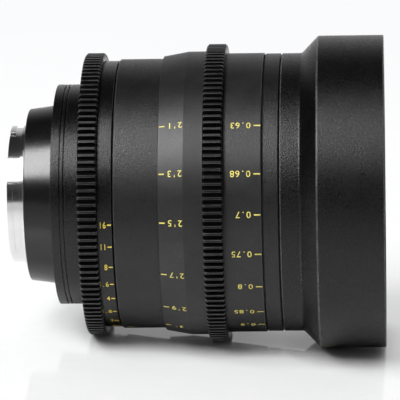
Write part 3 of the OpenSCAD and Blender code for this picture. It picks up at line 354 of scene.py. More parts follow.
def math_node(tree, operation, first, second):
    """A Math node whose operands are numbers or output sockets."""
    made = node_of(tree, "ShaderNodeMath", operation=operation)
    for socket, operand in zip(made.inputs, (first, second)):
        if isinstance(operand, (int, float)):
            socket.default_value = operand
        else:
            tree.links.new(operand, socket)
    return made.outputs[0]


def blend_colours(tree, factor, first, second):
    """A colour mix whose factor and colours are values or output sockets."""
    made = node_of(tree, "ShaderNodeMix", data_type="RGBA")
    for socket, operand in zip((made.inputs[0], made.inputs[6], made.inputs[7]), (factor, first, second)):
        if isinstance(operand, bpy.types.NodeSocket):
            tree.links.new(operand, socket)
        elif isinstance(operand, (int, float)):
            socket.default_value = operand
        else:
            socket.default_value = (*operand, 1.0)
    return made.outputs[2]


def remap(tree, value, low, high, to_low, to_high):
    """A clamped Map Range from low..high to to_low..to_high, where the ends may be sockets."""
    made = node_of(tree, "ShaderNodeMapRange")
    tree.links.new(value, made.inputs[0])
    for socket, operand in zip(list(made.inputs)[1:5], (low, high, to_low, to_high)):
        if isinstance(operand, (int, float)):
            socket.default_value = operand
        else:
            tree.links.new(operand, socket)
    return made.outputs[0]


def effect_group(name, inputs, outputs):
    """An empty node group with named sockets, each given as (name, socket type, default)."""
    group = bpy.data.node_groups.new(name, "ShaderNodeTree")
    for label, kind, default in inputs:
        socket = group.interface.new_socket(name=label, in_out="INPUT", socket_type=kind)
        socket.default_value = default
    for label, kind in outputs:
        group.interface.new_socket(name=label, in_out="OUTPUT", socket_type=kind)
    entry = group.nodes.new("NodeGroupInput")
    leave = group.nodes.new("NodeGroupOutput")
    return group, entry.outputs, leave.inputs


FLOAT = "NodeSocketFloat"
COLOUR = "NodeSocketColor"
BLACK = (0.0, 0.0, 0.0, 1.0)


def surface_grain():
    """Fine blasted grain: a speckled colour, an uneven roughness and a height."""
    name = "surface_grain"
    if name in bpy.data.node_groups:
        return bpy.data.node_groups[name]
    inputs = [
        ("Base", COLOUR, BLACK),
        ("Scale", FLOAT, 3000.0),
        ("Speckle", FLOAT, 0.5),
        ("Roughness", FLOAT, 0.4),
        ("Unevenness", FLOAT, 0.1),
    ]
    outputs = [("Color", COLOUR), ("Roughness", FLOAT), ("Height", FLOAT)]
    tree, given, leave = effect_group(name, inputs, outputs)
    place = node_of(tree, "ShaderNodeTexCoord").outputs["Object"]
    fine = node_of(tree, "ShaderNodeTexNoise", Detail=3.0, Roughness=0.6)
    tree.links.new(place, fine.inputs["Vector"])
    tree.links.new(given["Scale"], fine.inputs["Scale"])
    cloud = node_of(tree, "ShaderNodeTexNoise", Scale=CLOUD_SCALE, Detail=4.0, Roughness=0.55)
    tree.links.new(place, cloud.inputs["Vector"])
    spots = remap(tree, fine.outputs[0], *SPOT_RANGE, 0.0, 1.0)
    lift = math_node(tree, "MULTIPLY", spots, given["Speckle"])
    half = math_node(tree, "MULTIPLY", given["Speckle"], 0.5)
    drift = remap(tree, cloud.outputs[0], *CLOUD_RANGE, *CLOUD_GAIN)
    gain = math_node(tree, "MULTIPLY", math_node(tree, "ADD", lift, BASE_GAIN), drift)
    bright = node_of(tree, "ShaderNodeVectorMath", operation="SCALE")
    tree.links.new(given["Base"], bright.inputs[0])
    tree.links.new(gain, bright.inputs["Scale"])
    uneven = math_node(tree, "SUBTRACT", cloud.outputs[0], 0.5)
    spread = math_node(tree, "MULTIPLY", uneven, given["Unevenness"])
    sparkle = math_node(tree, "MULTIPLY", math_node(tree, "SUBTRACT", lift, half), SPARKLE)
    dull = math_node(tree, "ADD", given["Roughness"], spread)
    tree.links.new(bright.outputs[0], leave["Color"])
    tree.links.new(math_node(tree, "SUBTRACT", dull, sparkle), leave["Roughness"])
    tree.links.new(fine.outputs[0], leave["Height"])
    return tree


def lathe_lines():
    """Fine rings that a lathe leaves round the axis, on barrels and on flat faces alike."""
    name = "lathe_lines"
    if name in bpy.data.node_groups:
        return bpy.data.node_groups[name]
    tree, given, leave = effect_group(name, [("Scale", FLOAT, 4000.0)], [("Height", FLOAT)])
    place = node_of(tree, "ShaderNodeTexCoord").outputs["Object"]
    split = node_of(tree, "ShaderNodeSeparateXYZ")
    tree.links.new(place, split.inputs[0])
    across = math_node(tree, "MULTIPLY", split.outputs["Y"], split.outputs["Y"])
    upwards = math_node(tree, "MULTIPLY", split.outputs["Z"], split.outputs["Z"])
    radius = math_node(tree, "SQRT", math_node(tree, "ADD", across, upwards), 0.0)
    ringed = node_of(tree, "ShaderNodeCombineXYZ")
    tree.links.new(split.outputs["X"], ringed.inputs["X"])
    tree.links.new(radius, ringed.inputs["Y"])
    noise = node_of(tree, "ShaderNodeTexNoise", Detail=2.0, Roughness=0.5)
    tree.links.new(ringed.outputs[0], noise.inputs["Vector"])
    tree.links.new(given["Scale"], noise.inputs["Scale"])
    tree.links.new(noise.outputs[0], leave["Height"])
    return tree


def edge_rub():
    """Lightens the broken edges, which the pieces mark in their edge attribute: partly as worn bare metal, partly
    as painted highlight lines.
    """
    name = "edge_rub"
    if name in bpy.data.node_groups:
        return bpy.data.node_groups[name]
    inputs = [("Color", COLOUR, BLACK), ("Edge", COLOUR, BLACK), ("Strength", FLOAT, 0.5)]
    tree, given, leave = effect_group(name, inputs, [("Color", COLOUR), ("Mask", FLOAT)])
    marked = node_of(tree, "ShaderNodeAttribute", attribute_name="edge").outputs["Fac"]
    place = node_of(tree, "ShaderNodeTexCoord").outputs["Object"]
    patchy = node_of(tree, "ShaderNodeTexNoise", Scale=WEAR_AND_HIGHLIGHT_SCALE, Detail=3.0)
    tree.links.new(place, patchy.inputs["Vector"])
    # Noise patches break up the lightened edges, both the wear and the painted highlight
    worn = remap(tree, patchy.outputs[0], *WEAR_AND_HIGHLIGHT_RANGE, LEAST_WEAR_AND_HIGHLIGHT, 1.0)
    mask = math_node(tree, "MULTIPLY", math_node(tree, "MULTIPLY", marked, worn), given["Strength"])
    tree.links.new(blend_colours(tree, mask, given["Color"], given["Edge"]), leave["Color"])
    tree.links.new(mask, leave["Mask"])
    return tree


def new_material(name, **constants):
    """A material with one Principled shader, whose constants are set on its own sockets."""
    material = bpy.data.materials.new(name)
    material.use_nodes = True
    shader = material.node_tree.nodes["Principled BSDF"]
    for key, value in constants.items():
        shader.inputs[key.replace("_", " ")].default_value = value
    return material, material.node_tree, shader


def group_in(tree, group, **values):
    """Places an effect group in a material with its own values."""
    made = tree.nodes.new("ShaderNodeGroup")
    made.node_tree = group
    for key, value in values.items():
        made.inputs[key].default_value = value
    return made


def bump_into(tree, shader, height, strength, distance):
    """Feeds a height to the shader's normal."""
    bump = node_of(tree, "ShaderNodeBump", Strength=strength, Distance=distance)
    tree.links.new(height, bump.inputs["Height"])
    tree.links.new(bump.outputs[0], shader.inputs["Normal"])


def opaque(colour):
    """A colour with a full alpha."""
    return (*colour, 1.0)


# Finishes

# Each black finish lightens its broken edges by its own share: partly wear, partly painted highlight lines, most
# of all on the gear teeth
BLACKS = {
    "barrel_black": dict(
        colour="barrel", scale=2300.0, speckle=0.9, roughness=0.32, unevenness=0.08, rub=0.15, relief=0.3,
    ),
    "focus_black": dict(
        colour="focus", scale=2300.0, speckle=0.8, roughness=0.36, unevenness=0.08, rub=0.2, relief=0.22,
    ),
    "band_black": dict(
        colour="band", scale=2500.0, speckle=0.7, roughness=0.24, unevenness=0.06, rub=0.2, relief=0.15,
    ),
    "cover_black": dict(
        colour="cover", scale=2400.0, speckle=0.5, roughness=0.22, unevenness=0.05, rub=0.2, relief=0.035,
    ),
    "gear_black": dict(
        colour="gear", scale=4200.0, speckle=0.5, roughness=0.3, unevenness=0.08, rub=0.9,
        relief=0.015, specular=0.32,
    ),
    # Duller black with little sheen in the tooth spaces; its darker colour is painted shade
    "tooth_space_shade": dict(
        colour="tooth_space_shade", scale=3000.0, speckle=0.5, roughness=0.6, unevenness=0.1, rub=0.0,
        relief=0.03, specular=0.12,
    ),
    "hood_black": dict(
        colour="hood", scale=2200.0, speckle=1.1, roughness=0.28, unevenness=0.06, rub=0.45,
        relief=0.26, specular=0.44,
    ),
    "matt_black": dict(
        colour="trap", scale=3000.0, speckle=0.5, roughness=0.62, unevenness=0.1, rub=0.1, relief=0.03,
    ),
}
METALS = {
    "bayonet_chrome": dict(
        colour="chrome", metallic=1.0, scale=1500.0, roughness=0.14, unevenness=0.03,
        relief=0.05, line_scale=2600.0,
    ),
    "screw_steel": dict(
        colour="steel", metallic=1.0, scale=3000.0, roughness=0.32, unevenness=0.1,
        relief=0.1, line_scale=5000.0,
    ),
    "bare_aluminium": dict(
        colour="aluminium", metallic=1.0, scale=1800.0, roughness=0.36, unevenness=0.1,
        relief=0.16, line_scale=2200.0,
    ),
    "helicoid_brass": dict(
        colour="brass", metallic=1.0, scale=1500.0, roughness=0.28, unevenness=0.12,
        relief=0.14, line_scale=2400.0,
    ),
    # Near-black washers: painted shade in the ring gaps
    "washer_plastic": dict(
        colour="washer", metallic=0.0, scale=900.0, roughness=0.48, unevenness=0.1,
        relief=0.06, line_scale=1800.0,
    ),
    "blade_steel": dict(
        colour="blade", metallic=0.85, scale=1200.0, roughness=0.4, unevenness=0.16,
        relief=0.05, line_scale=1500.0,
    ),
}
PAINTS = ("focus_paint", "iris_paint")


def colour_of(name):
    """One of the colours that a user can change."""
    return getattr(bpy.context.scene.lens_colours, name)


def blasted_black(label, colour, scale, speckle, roughness, unevenness, rub, relief, specular=0.5):
    """Black anodised metal: fine grain, uneven sheen, and broken edges lightened partly by wear and partly by
    painted highlight.
    """
    material, tree, shader = new_material(label, Specular_IOR_Level=specular)
    values = {
        "Base": opaque(colour_of(colour)), "Scale": scale, "Speckle": speckle, "Roughness": roughness,
        "Unevenness": unevenness,
    }
    grain = group_in(tree, surface_grain(), **values)
    edges_worn_and_lit = group_in(tree, edge_rub(), Edge=opaque(colour_of("bare_edge")), Strength=rub)
    tree.links.new(grain.outputs["Color"], edges_worn_and_lit.inputs["Color"])
    tree.links.new(edges_worn_and_lit.outputs["Color"], shader.inputs["Base Color"])
    tree.links.new(grain.outputs["Roughness"], shader.inputs["Roughness"])
    bump_into(tree, shader, grain.outputs["Height"], relief, GRAIN_HEIGHT)
    return material


def turned_metal(label, colour, metallic, scale, roughness, unevenness, relief, line_scale):
    """Turned metal: rings from the lathe over a slightly uneven sheen."""
    material, tree, shader = new_material(label, Metallic=metallic)
    values = {
        "Base": opaque(colour_of(colour)), "Scale": scale, "Speckle": METAL_SPECKLE, "Roughness": roughness,
        "Unevenness": unevenness,
    }
    grain = group_in(tree, surface_grain(), **values)
    lines = group_in(tree, lathe_lines(), Scale=line_scale)
    even = blend_colours(tree, METAL_EVENNESS, grain.outputs["Color"], colour_of(colour))
    tree.links.new(even, shader.inputs["Base Color"])
    tree.links.new(grain.outputs["Roughness"], shader.inputs["Roughness"])
    bump_into(tree, shader, lines.outputs["Height"], relief, FINE_HEIGHT)
    return material


def scale_paint(label, colour):
    """Slightly worn scale paint in shallow engraving."""
    material, tree, shader = new_material(label)
    values = {
        "Base": opaque(colour_of(colour)), "Scale": 5200.0, "Speckle": 0.55, "Roughness": 0.55,
        "Unevenness": 0.1,
    }
    grain = group_in(tree, surface_grain(), **values)
    tree.links.new(grain.outputs["Color"], shader.inputs["Base Color"])
    tree.links.new(grain.outputs["Roughness"], shader.inputs["Roughness"])
    bump_into(tree, shader, grain.outputs["Height"], 0.05, FINE_HEIGHT)
    return material


def coated_glass(label):
    """Coated optical glass with a faint violet bloom."""
    colour = colour_of("glass")
    material, tree, shader = new_material(
        label, Metallic=0.0, IOR=1.55, Transmission_Weight=1.0, Specular_Tint=opaque(GLASS_COATING)
    )
    values = {"Base": opaque(colour), "Scale": 60.0, "Speckle": 0.04, "Roughness": 0.0, "Unevenness": 0.01}
    smear = group_in(tree, surface_grain(), **values)
    tinted = blend_colours(tree, GLASS_EVENNESS, smear.outputs["Color"], colour)
    tree.links.new(tinted, shader.inputs["Base Color"])
    haze = remap(tree, smear.outputs["Height"], *HAZE_RANGE, 0.0, MOST_HAZE)
    tree.links.new(haze, shader.inputs["Roughness"])
    return material


def finish_of(name):
    """The material of a finish, made when it is first asked for."""
    label = f"finish_{name}"
    if label in bpy.data.materials:
        return bpy.data.materials[label]
    if name in BLACKS:
        return blasted_black(label, **BLACKS[name])
    if name in PAINTS:
        return scale_paint(label, name)
    if name == "coated_glass":
        return coated_glass(label)
    return turned_metal(label, **METALS[name])


# Mesh helpers


def new_mesh():
    """An empty bmesh whose faces can be marked as broken edges."""
    bm = bmesh.new()
    bm.faces.layers.float.new("edge")
    return bm


def at(station, radius, angle=0.0):
    """The point at a station, a radius and an angle about the axis."""
    return Vector((station, -radius * math.cos(angle), -radius * math.sin(angle)))


def place_of(point):
    """Station, radius and angle of a point, with the angle from 0 up to a full turn."""
    return point.x, math.hypot(point.y, point.z), math.atan2(-point.z, -point.y) % math.tau


def wrapped(angle):
    """An angle brought between minus and plus half a turn."""
    return (angle + math.pi) % math.tau - math.pi


def spun(bm, outline, steps, start=0.0, sweep=math.tau):
    """Spins a closed outline of (station, radius) corners about the axis, all round or over a sweep."""
    whole = sweep > math.tau - 0.001
    corners = [bm.verts.new(at(station, radius, start)) for station, radius in outline]
    edges = [bm.edges.new(pair) for pair in zip(corners, corners[1:] + corners[:1])]
    made = bmesh.ops.spin(
        bm, geom=corners + edges, cent=CENTRE, axis=AXIS, angle=sweep, steps=steps, use_merge=whole
    )
    if not whole:
        bm.faces.new(corners)
        last = [item for item in made["geom_last"] if isinstance(item, bmesh.types.BMEdge)]
        bmesh.ops.contextual_create(bm, geom=last)


def anywhere(edge):
    """Picks every edge."""
    return True


def rounded(bm, width, outer, picks):
    """Rounds the sharp outer or inner corners that picks accepts, and gives the new faces."""
    bmesh.ops.recalc_face_normals(bm, faces=bm.faces)
    sharp = [
        edge
        for edge in bm.edges
        if len(edge.link_faces) == 2
        and edge.is_convex == outer
        and edge.calc_face_angle() > SHARP
        and picks(edge)
    ]
    made = bmesh.ops.bevel(
        bm, geom=sharp, offset=width, offset_type="OFFSET", segments=EDGE_SEGMENTS, profile=0.5,
        affect="EDGES", clamp_overlap=True, material=-1,
    )
    return made["faces"]


def break_edges(bm, width, picks=anywhere):
    """Rounds the sharp outer corners that picks accepts, and marks the new faces as broken edges."""
    mark = bm.faces.layers.float["edge"]
    for face in rounded(bm, width, True, picks):
        face[mark] = 1.0


def finish_piece(name, bm, body, slot, nodes=(), finishes=()):
    """Turns a bmesh into a piece that rides on a body, stands for its nodes and has its finishes."""
    bmesh.ops.remove_doubles(bm, verts=bm.verts, dist=DOUBLES)
    bmesh.ops.recalc_face_normals(bm, faces=bm.faces)
    mesh = bpy.data.meshes.new(name)
    bm.to_mesh(mesh)
    bm.free()
    mesh.shade_smooth()
    mesh.set_sharp_from_angle(angle=CREASE)
    for finish in finishes or [slot]:
        mesh.materials.append(finish_of(finish))
    piece = bpy.data.objects.new(name, mesh)
    bpy.context.scene.collection.objects.link(piece)
    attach(piece, body)
    if nodes:
        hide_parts(*nodes)


def raise_faces(bm, rear, front, first, last, from_radius, to_radius):
    """Lifts or sinks a patch of a turned face, given by its stations, angles and radius."""
    middle = (first + last) / 2
    half = (last - first) / 2

    def in_patch(face):
        station, _, angle = place_of(face.calc_center_median())
        level = all(abs(place_of(vertex.co)[1] - from_radius) < SLACK for vertex in face.verts)
        return level and rear < station < front and abs(wrapped(angle - middle)) < half

    patch = [face for face in bm.faces if in_patch(face)]
    if not patch:
        raise RuntimeError("no faces lie in the patch to lift")
    made = bmesh.ops.extrude_face_region(bm, geom=patch)
    lifted = [item for item in made["geom"] if isinstance(item, bmesh.types.BMVert)]
    bmesh.ops.delete(bm, geom=patch, context="FACES")
    ratio = to_radius / from_radius
    bmesh.ops.scale(bm, vec=(1.0, ratio, ratio), verts=lifted)


def cut_slot(bm, rear, front, first, last, radii):
    """Cuts a slot through a tube, whose outer and inner faces have vertices along the slot."""
    middle = (first + last) / 2
    half = (last - first) / 2

    def in_slot(face):
        station, _, angle = place_of(face.calc_center_median())
        skin = any(
            all(abs(place_of(vertex.co)[1] - radius) < SLACK for vertex in face.verts) for radius in radii
        )
        return skin and rear < station < front and abs(wrapped(angle - middle)) < half

    bmesh.ops.delete(bm, geom=[face for face in bm.faces if in_slot(face)], context="FACES")
    bmesh.ops.bridge_loops(bm, edges=[edge for edge in bm.edges if edge.is_boundary])


# Pieces


def joint_range(name):
    """The limits of a joint of the frame, in radians."""
    joint = next(row for row in frame["joints"] if row["name"] == name)
    return [math.radians(limit) for limit in joint["range_deg"]]


def hood_start(sizes):
    """The station where the front barrel's cone ends and its hood starts."""
    return rim("front_barrel")[0] + sizes.front_gap + sizes.front_ring + sizes.front_cone


class LENS_OT_bayonet(bpy.types.Operator):
    """Chrome bayonet with its register, three claws and flange plate"""

    bl_idname = "lens.bayonet"
    bl_label = "Bayonet"

    def execute(self, context):
        sizes = context.scene.lens_sizes
        rear, front, bore, plate = rim("bayonet_mount")
        neck = sizes.register_radius - sizes.claw_groove
        claw = sizes.register_radius - sizes.claw_inset
        claw_front = rear + sizes.claw_thickness
        outline = [
            (rear, bore), (rear, neck), (claw_front, neck), (-sizes.register_length, neck),
            (-sizes.register_length, sizes.register_radius), (0.0, sizes.register_radius), (0.0, plate),
            (front, plate), (front, bore),
        ]
        bm = new_mesh()
        spun(bm, outline, WHOLE_DEGREES)
        for index in range(CLAWS):
            middle = sizes.claw_turn + index * math.tau / CLAWS
            raise_faces(
                bm, rear, claw_front, middle - sizes.claw_span / 2, middle + sizes.claw_span / 2, neck, claw
            )
        break_edges(bm, sizes.small_edge)
        finish_piece("chrome_bayonet", bm, "housing", "bayonet_chrome", ["bayonet_mount"])
        return {"FINISHED"}


class LENS_OT_rear_cover(bpy.types.Operator):
    """Tapered cover round the flange plate"""

    bl_idname = "lens.rear_cover"
    bl_label = "Rear cover"

    def execute(self, context):
        sizes = context.scene.lens_sizes
        rear, front, hole, outer = rim("rear_cover")
        seat = rim("bayonet_mount")[3] + sizes.seat_gap
        ledge_rear = rim("mount_shim")[1]
        ledge_front = ledge_rear + sizes.ledge
        bore = outer - sizes.cover_taper - sizes.cover_wall
        outline = [
            (rear, seat), (rear, outer - sizes.cover_taper), (front, outer), (front, bore),
            (ledge_front, bore), (ledge_front, hole), (ledge_rear, hole), (ledge_rear, seat),
        ]
        bm = new_mesh()
        spun(bm, outline, sizes.steps)
        break_edges(bm, sizes.edge)
        finish_piece("tapered_cover", bm, "housing", "cover_black", ["rear_cover"])
        return {"FINISHED"}


class LENS_OT_rear_barrel(bpy.types.Operator):
    """Rear barrel with its two fine grooves and the sleeve that the iris ring turns on"""

    bl_idname = "lens.rear_barrel"
    bl_label = "Rear barrel"

    def execute(self, context):
        sizes = context.scene.lens_sizes
        rear, front, hole, lip = rim("rear_barrel")
        bore = rim("fixed_barrel")[2]
        sleeve = rim("iris_ring")[2] - sizes.run_gap
        lip_rear = rim("iris_ring")[0] + sizes.lip_gap
        lip_front = lip_rear + sizes.lip
        wall = rear + sizes.back_wall
        step = sizes.step_radius
        floor = step - sizes.groove_depth
        outline = [(rear, hole), (rear, step)]
        for groove in (rear + sizes.first_groove, rear + sizes.second_groove):
            end = groove + sizes.groove_width
            outline += [(groove, step), (groove, floor), (end, floor), (end, step)]
        pin_low, pin_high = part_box("iris_drive_pin")
        slot_rear = pin_low.x - sizes.end_gap
        slot_front = pin_high.x + sizes.end_gap
        outline += [
            (lip_rear, step), (lip_rear, lip), (lip_front, lip), (lip_front, sleeve), (slot_rear, sleeve),
            (slot_front, sleeve), (front, sleeve), (front, bore), (slot_front, bore), (slot_rear, bore),
            (wall, bore), (wall, hole),
        ]
        bm = new_mesh()
        spun(bm, outline, WHOLE_DEGREES)
        pin_angle = place_of((pin_low + pin_high) / 2)[2]
        opened, closed = joint_range("iris_turn")
        cut_slot(
            bm, slot_rear, slot_front, pin_angle + opened - sizes.slot_spare,
            pin_angle + closed + sizes.slot_spare, (sleeve, bore),
        )
        break_edges(bm, sizes.small_edge)
        finish_piece("stepped_rear_barrel", bm, "housing", "barrel_black", ["rear_barrel"], ["band_black"])
        return {"FINISHED"}


class LENS_OT_iris_ring(bpy.types.Operator):
    """Iris ring: the band with the iris scale and the seat of its gear"""

    bl_idname = "lens.iris_ring"
    bl_label = "Iris ring"

    def execute(self, context):
        sizes = context.scene.lens_sizes
        rear, front, bore, band = rim("iris_ring")
        _, gear_front, seat, _ = rim("iris_gear")
        seat -= sizes.seat_gap
        counterbore = rim("rear_barrel")[3] + sizes.end_gap
        floor = rear + sizes.lip_gap + sizes.lip + sizes.end_gap
        pin_low, pin_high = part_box("iris_stop_pin")
        track_rear = pin_low.x - sizes.end_gap
        track_front = pin_high.x + sizes.end_gap
        outline = [
            (rear, counterbore), (rear, seat), (gear_front, seat), (gear_front, band),
            (front - sizes.undercut, band), (front, band - sizes.undercut_depth), (front, bore),
            (track_front, bore), (track_rear, bore), (floor, bore), (floor, counterbore),
        ]
        bm = new_mesh()
        spun(bm, outline, WHOLE_DEGREES)
        pin_angle = place_of((pin_low + pin_high) / 2)[2]
        opened, closed = joint_range("iris_turn")
        raise_faces(
            bm, track_rear, track_front, pin_angle - closed - sizes.track_spare,
            pin_angle - opened + sizes.track_spare, bore, bore + sizes.track_depth,
        )

        def on_band(edge):
            return all(place_of(vertex.co)[1] > seat + sizes.small_edge for vertex in edge.verts)

        break_edges(bm, sizes.band_edge, on_band)
        finish_piece("iris_scale_ring", bm, "iris_control", "barrel_black", ["iris_ring"], ["band_black"])
        return {"FINISHED"}


def gear_ring(name, node, body, teeth, sizes):
    """A toothed ring: one tooth is extruded and chamfered, and copied all round."""
    rear, front, bore, tip = rim(node)
    root = tip - sizes.tooth_height
    pitch = math.tau / teeth
    corners = [
        (bore, -0.5), (root, -0.5), (root, -TOOTH_ROOT_HALF), (tip, -TOOTH_TIP_HALF),
        (tip, TOOTH_TIP_HALF), (root, TOOTH_ROOT_HALF), (root, 0.5), (bore, 0.5),
    ]
    bm = new_mesh()
    face = bm.faces.new([bm.verts.new(at(rear, radius, share * pitch)) for radius, share in corners])
    made = bmesh.ops.extrude_face_region(bm, geom=[face])
    moved = [item for item in made["geom"] if isinstance(item, bmesh.types.BMVert)]
    bmesh.ops.translate(bm, vec=AXIS * (front - rear), verts=moved)
    bmesh.ops.recalc_face_normals(bm, faces=bm.faces)

    def is_tip(vertex):
        return place_of(vertex.co)[1] > tip - SLACK

    def at_tip_end(edge):
        one, other = edge.verts
        return is_tip(one) and is_tip(other) and abs(one.co.x - other.co.x) < SLACK

    tip_ends = [edge for edge in bm.edges if at_tip_end(edge)]
    bmesh.ops.bevel(
        bm, geom=tip_ends, offset=sizes.tooth_chamfer, offset_type="OFFSET", segments=1, profile=0.5,
        affect="EDGES", clamp_overlap=True, material=-1,
    )

    def on_flank(edge):
        radii = [place_of(vertex.co)[1] for vertex in edge.verts]
        return min(radii) > root + SLACK

    break_edges(bm, sizes.tooth_edge, on_flank)

    def joins_next_tooth(item):
        angles = [wrapped(place_of(vertex.co)[2]) for vertex in item.verts]
        at_ends = all(abs(abs(angle) - pitch / 2) < pitch * PITCH_SLACK for angle in angles)
        one_sided = len({angle > 0 for angle in angles}) == 1
        return at_ends and one_sided and abs(item.normal.x) < FACING_ENDS

    joints = [item for item in bm.faces if joins_next_tooth(item)]
    bmesh.ops.delete(bm, geom=joints, context="FACES")
    # Flanks and roots below the tips take the second finish, whose darker black paints the shade between the teeth
    mark = bm.faces.layers.float["edge"]
    for item in bm.faces:
        below_tip = place_of(item.calc_center_median())[1] < tip - sizes.tooth_edge
        if below_tip and abs(item.normal.x) < FACING_ENDS and not item[mark]:
            item.material_index = 1
    bmesh.ops.spin(
        bm, geom=bm.verts[:] + bm.edges[:] + bm.faces[:], cent=CENTRE, axis=AXIS,
        angle=math.tau - pitch, steps=teeth - 1, use_duplicate=True,
    )
    finish_piece(name, bm, body, "gear_black", [node], ["gear_black", "tooth_space_shade"])


class LENS_OT_gear_rings(bpy.types.Operator):
    """The two toothed rings, for the focus and for the iris"""

    bl_idname = "lens.gear_rings"
    bl_label = "Gear rings"

    def execute(self, context):
        sizes = context.scene.lens_sizes
        gear_ring("iris_tooth_ring", "iris_gear", "iris_control", sizes.iris_teeth, sizes)
        gear_ring("focus_tooth_ring", "focus_gear", "focus_control", sizes.focus_teeth, sizes)
        return {"FINISHED"}


class LENS_OT_fixed_barrel(bpy.types.Operator):
    """Plain barrel between the two control rings"""

    bl_idname = "lens.fixed_barrel"
    bl_label = "Fixed barrel"

    def execute(self, context):
        sizes = context.scene.lens_sizes
        rear, front, bore, outer = rim("fixed_barrel")
        stop_rear, _, _, stop_outer = rim("focus_stop_ring")
        inner = stop_outer + sizes.seat_gap
        shoulder = inner - sizes.stop_step
        foot = rim("guide_tube")[0]
        lip = front + sizes.joint_reach
        outline = [
            (rear, bore), (rear, outer - sizes.undercut_depth), (rear + sizes.undercut, outer), (lip, outer),
            (lip, inner), (stop_rear, inner), (stop_rear, shoulder), (foot, shoulder), (foot, bore),
        ]
        bm = new_mesh()
        spun(bm, outline, sizes.steps)

        def at_rear(edge):
            return all(vertex.co.x < foot for vertex in edge.verts)

        break_edges(bm, sizes.edge, at_rear)
        break_edges(bm, sizes.small_edge)
        finish_piece("plain_barrel", bm, "housing", "barrel_black", ["fixed_barrel"])
        return {"FINISHED"}


class LENS_OT_focus_ring(bpy.types.Operator):
    """Focus ring: its rear cone, its cylinder and the band with the distance scale"""

    bl_idname = "lens.focus_ring"
    bl_label = "Focus ring"

    def execute(self, context):
        sizes = context.scene.lens_sizes
        rear, front, bore, outer = rim("focus_ring")
        gear_rear, _, seat, _ = rim("focus_gear")
        band = seat - sizes.seat_gap
        outline = [
            (rear, bore), (rear, sizes.focus_rear_radius), (rear + sizes.focus_cone, outer),
            (gear_rear, outer), (gear_rear, band), (front - sizes.undercut, band),
            (front, band - sizes.undercut_depth), (front, bore),
        ]
        bm = new_mesh()
        spun(bm, outline, sizes.steps)

        def ahead(edge):
            return all(vertex.co.x > gear_rear for vertex in edge.verts)

        break_edges(bm, sizes.edge, ahead)
        break_edges(bm, sizes.small_edge)
        finish_piece("focus_scale_ring", bm, "focus_control", "barrel_black", ["focus_ring"], ["focus_black"])
        return {"FINISHED"}


class LENS_OT_front_barrel(bpy.types.Operator):
    """Front ring, cone and hood, with the front thread cut in its bore"""

    bl_idname = "lens.front_barrel"
    bl_label = "Front barrel"

    def execute(self, context):
        sizes = context.scene.lens_sizes
        rear, front, hole, outer = rim("front_barrel")
        ring = rim("index_ring")[3]
        spigot = ring - sizes.spigot
        ring_rear = rear + sizes.front_gap
        cone = ring_rear + sizes.front_ring
        hood = hood_start(sizes)
        thread = outer - sizes.hood_wall
        thread_rear = front - sizes.thread_length
        relief = thread_rear - sizes.relief
        seat = rim("hood_baffle")[3] + sizes.seat_gap
        inner = ring - sizes.front_shell
        wall = rear + sizes.front_wall
        outline = [
            (rear, hole), (rear, spigot), (ring_rear, spigot), (ring_rear, ring), (cone, ring), (hood, outer),
            (front, outer), (front, thread + sizes.thread_depth),
        ]
        turns = int(sizes.thread_length / sizes.thread_pitch)
        for index in range(turns):
            start = front - (index + 0.5) * sizes.thread_pitch
            outline += [(start, thread), (start - sizes.thread_pitch / 2, thread + sizes.thread_depth)]
        outline += [
            (thread_rear, thread), (thread_rear, thread + sizes.relief_depth),
            (relief, thread + sizes.relief_depth), (relief, seat), (hood + sizes.bore_run, seat),
            (cone, inner), (wall, inner), (wall, hole),
        ]
        bm = new_mesh()
        spun(bm, outline, sizes.steps)
        thread_root = thread + sizes.relief_depth + LOOSE_SLACK

        def on_outside(vertex):
            radius = place_of(vertex.co)[1]
            return radius > ring - LOOSE_SLACK and (radius > thread_root or vertex.co.x < hood)

        def in_corner(vertex):
            corner = at(cone, ring, place_of(vertex.co)[2])
            return (vertex.co - corner).length < LOOSE_SLACK

        def outside(edge):
            return all(on_outside(vertex) for vertex in edge.verts)

        def under_cone(edge):
            return all(in_corner(vertex) for vertex in edge.verts)

        rounded(bm, sizes.fillet, False, under_cone)
        break_edges(bm, sizes.edge, outside)
        finish_piece("hooded_front_barrel", bm, "housing", "hood_black", ["front_barrel"])
        return {"FINISHED"}


class LENS_OT_index_ring(bpy.types.Operator):
    """Thin fixed ring in front of the focus ring, its bore eased for the keys that slide under it"""

    bl_idname = "lens.index_ring"
    bl_label = "Index ring"

    def execute(self, context):
        sizes = context.scene.lens_sizes
        _, _, bore, _ = rim("index_ring")
        bm = new_mesh()
        bm.from_mesh(frame["nodes"]["index_ring"].data)
        wall = [vertex for vertex in bm.verts if place_of(vertex.co)[1] < bore + LOOSE_SLACK]
        wider = (bore + sizes.key_room) / bore
        bmesh.ops.scale(bm, vec=(1.0, wider, wider), verts=wall)
        finish_piece("eased_index_ring", bm, "housing", "barrel_black", ["index_ring"])
        return {"FINISHED"}


class LENS_OT_front_glass(bpy.types.Operator):
    """Front element: a ground ball face, a flat back and a cylindrical edge"""

    bl_idname = "lens.front_glass"
    bl_label = "Front glass"

    def execute(self, context):
        sizes = context.scene.lens_sizes
        rear, front, _, outer = rim("front_element")
        corners = [place_of(vertex.co) for vertex in frame["nodes"]["front_element"].data.vertices]
        edge = max(station for station, radius, _ in corners if radius > outer - LOOSE_SLACK)
        sag = front - edge
        ball = (outer * outer + sag * sag) / (2 * sag)
        outline = [(rear, 0.0), (rear, outer)]
        for index in range(ARC_STEPS + 1):
            radius = outer * (1 - index / ARC_STEPS)
            outline.append((front - ball + math.sqrt(ball * ball - radius * radius), radius))
        bm = new_mesh()
        spun(bm, outline, sizes.steps)
        finish_piece("ground_front_glass", bm, "optical_block", "coated_glass", ["front_element"])
        return {"FINISHED"}


# Scales


